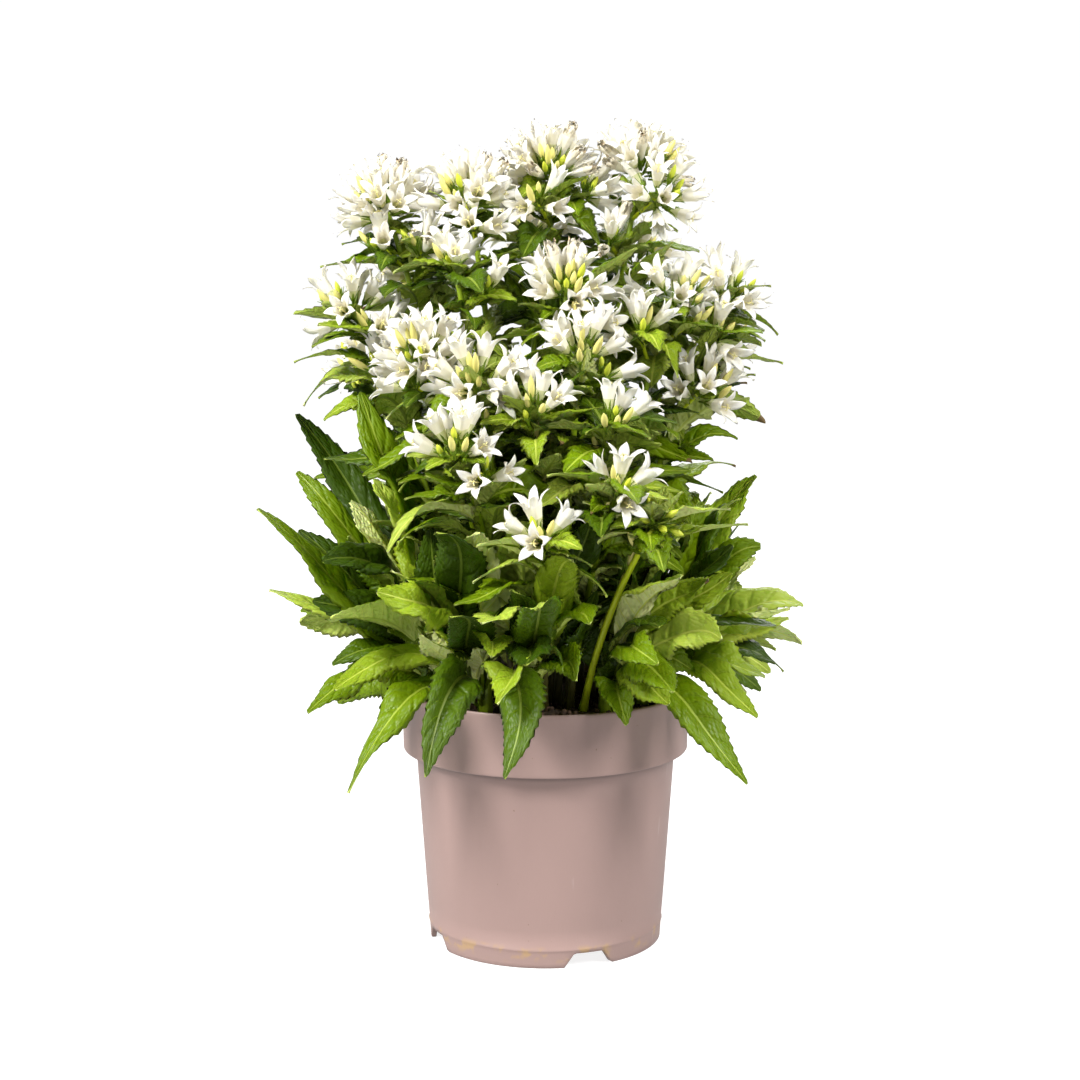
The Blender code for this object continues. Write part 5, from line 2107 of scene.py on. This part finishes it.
@dataclass
class Compost:
    """The compost in the pot: an uneven surface strewn with crumbs."""

    radius: float = 92.3 * MM
    rings: int = 46
    steps: int = 180
    crumbs: int = 620
    crumb: float = 2.6 * MM
    crumb_sides: int = 7
    wave: float = 0.9 * MM
    depth: float = 6 * MM  # how far it goes down beside the pot's wall
    mound: float = 8.5 * MM  # how high it is heaped against the rim at the front
    mound_place: tuple[float, float] = (12 * MM, -82 * MM)
    mound_width: float = 17 * MM

    def height(self, x: Array, y: Array) -> Array:
        """How the surface lies, from a few waves and a mound."""
        waves = np.sin(x * 210 + 1) * np.cos(y * 170)
        waves = waves + 0.6 * np.sin(x * 470 + y * 350) + 0.4 * np.cos(x * 900 - y * 1100)
        away = ((x - self.mound_place[0]) / 1.6) ** 2 + (y - self.mound_place[1]) ** 2
        heap = self.mound * np.exp(-away / (2 * self.mound_width**2))
        return COMPOST_TOP - 0.5 * MM + self.wave * waves + heap

    def crumb_mold(self) -> Mold:
        """One lumpy crumb, about one across."""
        rings = np.radians((-80, -45, -10, 25, 55, 80))
        turns = round_turns(self.crumb_sides)
        radius = np.cos(rings)[:, None] * (1 + 0.18 * np.cos(2 * turns + 1))[None]
        up = np.sin(rings)[:, None] * (0.8 + 0.1 * np.sin(3 * turns))[None]
        points = np.stack((radius * np.cos(turns), radius * np.sin(turns), up), -1).reshape(-1, 3)
        faces = grid_faces(len(rings), len(turns), closed=True)
        return plain_mold(points, faces)

    def build(self, rng: Dice) -> None:
        """Makes the surface and the crumbs, and joins the plant."""
        angles = round_turns(self.steps)
        rows = [ring(radius, angles, 0) for radius in np.linspace(0.5 * MM, self.radius, self.rings)]
        surface = np.concatenate((*rows, ring(self.radius, angles, COMPOST_TOP - self.depth)))
        top = surface[: -self.steps]
        top[:, 2] = self.height(top[:, 0], top[:, 1])
        faces = grid_faces(self.rings + 1, self.steps, closed=True)[:, ::-1]
        molds = [plain_mold(surface, faces)]
        crumb = self.crumb_mold()
        for _ in range(self.crumbs):
            out = (self.radius - 2.5 * MM) * math.sqrt(rng.random())
            spot = bearing(rng.uniform(0, math.tau)) * out
            size = self.crumb * rng.uniform(0.4, 1.0) ** 1.5
            spot[2] = float(self.height(spot[0], spot[1])) + size * 0.3
            axis = unit(np.array([rng.gauss(0, 1) for _ in range(3)]))
            molds.append(crumb.put(spot, frame_round(axis, 0), size))
        whole = merge(molds)
        obj = mesh_object("compost_surface", whole.points, whole.faces, [CompostFinish().build()])
        join_plant(obj, "compost", ["compost"])


@dataclass
class Studio:
    """White paper, soft lights and the camera."""

    camera_place: Point = (-0.0036, -1.5, 0.487)
    camera_pitch: float = 8.35
    lens: float = 76.8
    half_floor: float = 6.0
    backdrop: float = 1.02
    walls: float = 0.40
    ceiling: float = 0.2
    aim: Point = (0.0, 0.0, 0.28)
    lights: tuple = (
        ("key", (-1.5, -1.2, 1.8), 0.85, 112),
        ("fill", (1.6, -1.2, 1.75), 0.8, 62),
        ("back", (0.4, 1.7, 1.5), 1.3, 34),
    )  # name, place, side and power in watts

    def paper(self) -> None:
        """Lays the floor."""
        half = self.half_floor
        points = np.array(((-half, -half, 0), (half, -half, 0), (half, half, 0), (-half, half, 0)), float)
        floor = mesh_object("studio_floor", points, np.array(((0, 1, 2, 3),)), [PaperFinish().build()])
        floor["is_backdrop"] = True

    def light(self, name: str, place: Point, size: float, power: float) -> None:
        """Hangs a soft box that points at the plant.

        Args:
            name: Its name.
            place: Where it hangs.
            size: Its side.
            power: Its power in watts.
        """
        data = bpy.data.lights.new(name, "AREA")
        data.shape = "SQUARE"
        data.size = size
        data.energy = power
        lamp = bpy.data.objects.new(name, data)
        lamp.location = place
        lamp.rotation_euler = (Vector(self.aim) - Vector(place)).to_track_quat("-Z", "Y").to_euler()
        bpy.context.scene.collection.objects.link(lamp)

    def air(self) -> None:
        """Makes the world: soft walls and a dimmer ceiling, plain white to the camera."""
        world = bpy.data.worlds.new("studio_air")
        world.use_nodes = True
        nodes, links = world.node_tree.nodes, world.node_tree.links
        ramp = nodes.new("ShaderNodeMapRange")
        limits = {"From Min": 0.16, "From Max": 0.36, "To Min": self.walls, "To Max": self.ceiling}
        for key, value in limits.items():
            ramp.inputs[key].default_value = value
        split = nodes.new("ShaderNodeSeparateXYZ")
        links.new(nodes.new("ShaderNodeTexCoord").outputs["Generated"], split.inputs[0])
        links.new(split.outputs[2], ramp.inputs["Value"])
        seen = nodes.new("ShaderNodeMix")
        seen.inputs["B"].default_value = self.backdrop
        links.new(nodes.new("ShaderNodeLightPath").outputs["Is Camera Ray"], seen.inputs["Factor"])
        links.new(ramp.outputs[0], seen.inputs["A"])
        links.new(seen.outputs[0], nodes["Background"].inputs["Strength"])
        nodes["Background"].inputs["Color"].default_value = (1.0, 1.0, 1.0, 1)
        bpy.context.scene.world = world

    def camera(self) -> None:
        """Stands the camera before the pot."""
        data = bpy.data.cameras.new("camera")
        data.lens = self.lens
        camera = bpy.data.objects.new("camera", data)
        camera.location = self.camera_place
        camera.rotation_euler = (math.radians(90 - self.camera_pitch), 0, 0)
        bpy.context.scene.collection.objects.link(camera)
        bpy.context.scene.camera = camera

    def build(self) -> None:
        """Sets up floor, lights, world and camera."""
        self.paper()
        for light in self.lights:
            self.light(*light)
        self.air()
        view = bpy.context.scene.view_settings
        view.view_transform = "Standard"
        view.look = "None"
        self.camera()


# ---------------- the whole plant


class Plant:
    """Grows every shoot and tuft into the garden and joins what has grown."""

    def __init__(self, nodes: dict[str, bpy.types.Object]) -> None:
        """Lays out the garden.

        Args:
            nodes: The solids by name.
        """
        self.nodes = nodes
        starts = ("shoot_", "basal_", "stem_")
        shoots, basal, stems = (sorted(name for name in nodes if name.startswith(kind)) for kind in starts)
        self.rng = Dice(SEED)
        self.garden = Garden(
            Joined("leaves", "leaf", LEAF_WARDROBE, basal),
            Joined("petals", "blossom", PETAL_WARDROBE, shoots),
            Joined("calyxes_and_buds", "blossom", GREEN_WARDROBE, shoots),
            Joined("stems", "stem", STEM_WARDROBE, stems),
            BlossomKit.cast(self.rng),
            Clearance(),
            Clearance(),
        )
        self.shoots = {
            name: Shoot(name, StemLine(np.array(head, float) * MM), bells, sprays)
            for name, head, bells, sprays in STEM_TABLE
        }
        self.tufts = [BasalTuft(i, self.crown_foot(i)) for i in range(BASAL_SECTORS)]

    def crown_foot(self, number: int) -> Array:
        """Where the solid of a sector's crown stands: under the middle of its lowest points.

        Args:
            number: The sector.

        Returns:
            The place on the compost.
        """
        name = f"basal_leaves_{number + 1:02d}"
        points = np.array([vertex.co for vertex in self.nodes[name].data.vertices])
        low = points[np.abs(points[:, 2] - COMPOST_TOP) < 1 * MM]
        near = low[np.abs(np.hypot(low[:, 0], low[:, 1]) - CROWN_RING) < 14 * MM]
        middle = (near.min(0) + near.max(0)) / 2
        return np.array((middle[0], middle[1], COMPOST_TOP))

    def take_solids(self) -> None:
        """Keeps the pot's room and the stems' room clear of leaves."""
        for name, node in self.nodes.items():
            if name == "pot" or name.startswith("stem_"):
                points = np.array([vertex.co for vertex in node.data.vertices])
                self.garden.solid.take(points, [tuple(face.vertices) for face in node.data.polygons])

    def keep_open(self) -> None:
        """Keeps leaves off the crown's openings: over the compost, and before the bud shoot's pale stem."""
        for x, low, high in OPENINGS:
            near, far = (x, -50), (x, -185)
            corners = np.array(((*near, low), (*far, low + 24), (*far, high + 24), (*near, high)))
            self.garden.solid.take(corners * MM, [(0, 1, 2, 3)])
        line = self.shoots[BUD_SHOOT].line.at(np.linspace(0.08, 0.8, 9))
        ahead = line + np.array((0, -110, 20)) * MM
        line = line + np.array((0, -7, 1)) * MM
        sheet = np.stack((line, ahead), 1).reshape(-1, 3)
        self.garden.solid.take(sheet, grid_faces(len(line), 2).tolist())

    def grow(self) -> None:
        """Grows stems, blossom, outline leaves and then all the rest."""
        garden, rng, shoots = self.garden, self.rng, self.shoots.values()
        self.take_solids()
        self.keep_open()
        for shoot in shoots:
            shoot.stem(garden)
        for tuft in self.tufts:
            tuft.crown(garden)
        outline = sum(tuft.draw_outline(garden, rng) for tuft in self.tufts)
        outline += self.outline_stem_leaves()
        bells = sum(shoot.blossom(garden, rng) for shoot in shoots)
        self.shoots[BUD_SHOOT].bud_tip(garden, rng)
        bracts = sum(shoot.collar(garden, rng) for shoot in shoots)
        stem_leaves = sum(shoot.foliage(garden, rng) for shoot in shoots if shoot.bells)
        basal = sum(tuft.fill(garden, rng) for tuft in self.tufts)
        basal += sum(tuft.fill_heart(garden, rng) for tuft in self.tufts)
        LOG.info("%d bells, %d outline leaves, %d bracts", bells, outline, bracts)
        LOG.info("%d stem leaves, %d basal leaves", stem_leaves, basal)

    def outline_stem_leaves(self) -> int:
        """Grows the stem leaves that draw the plant's outline."""
        grown = 0
        for name, drop, azimuth, length, rise, bend, tone in OUTLINE_STEM_LEAVES:
            shoot = self.shoots[name]
            root = shoot.line.at((shoot.line.below(drop * MM),))[0]
            width = 18 + 0.12 * length
            shape = LeafShape(length * MM, math.radians(bend), width * MM, 0.0, tone)
            plans = shoot.plans(root, math.radians(azimuth), math.radians(rise), shape)
            grown += self.garden.leaf(STEM_BLADE, plans, self.rng, OUTLINE_BRUSH)
        return grown

    def join(self) -> None:
        """Makes the joined pieces."""
        for kind in (self.garden.stems, self.garden.leaves, self.garden.petals, self.garden.greens):
            kind.build()


def main() -> None:
    """Builds pot, compost, plant and studio in turn."""
    logging.basicConfig(level=logging.INFO, format="%(message)s")
    Pot().build()
    Compost().build(Dice(SEED + 1))
    plant = Plant(frame["nodes"])
    plant.grow()
    plant.join()
    Studio().build()
    boxes = [[list(corner) for corner in box] for box in (SOLID_BOX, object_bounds())]


if __name__ == "__main__":
    main()
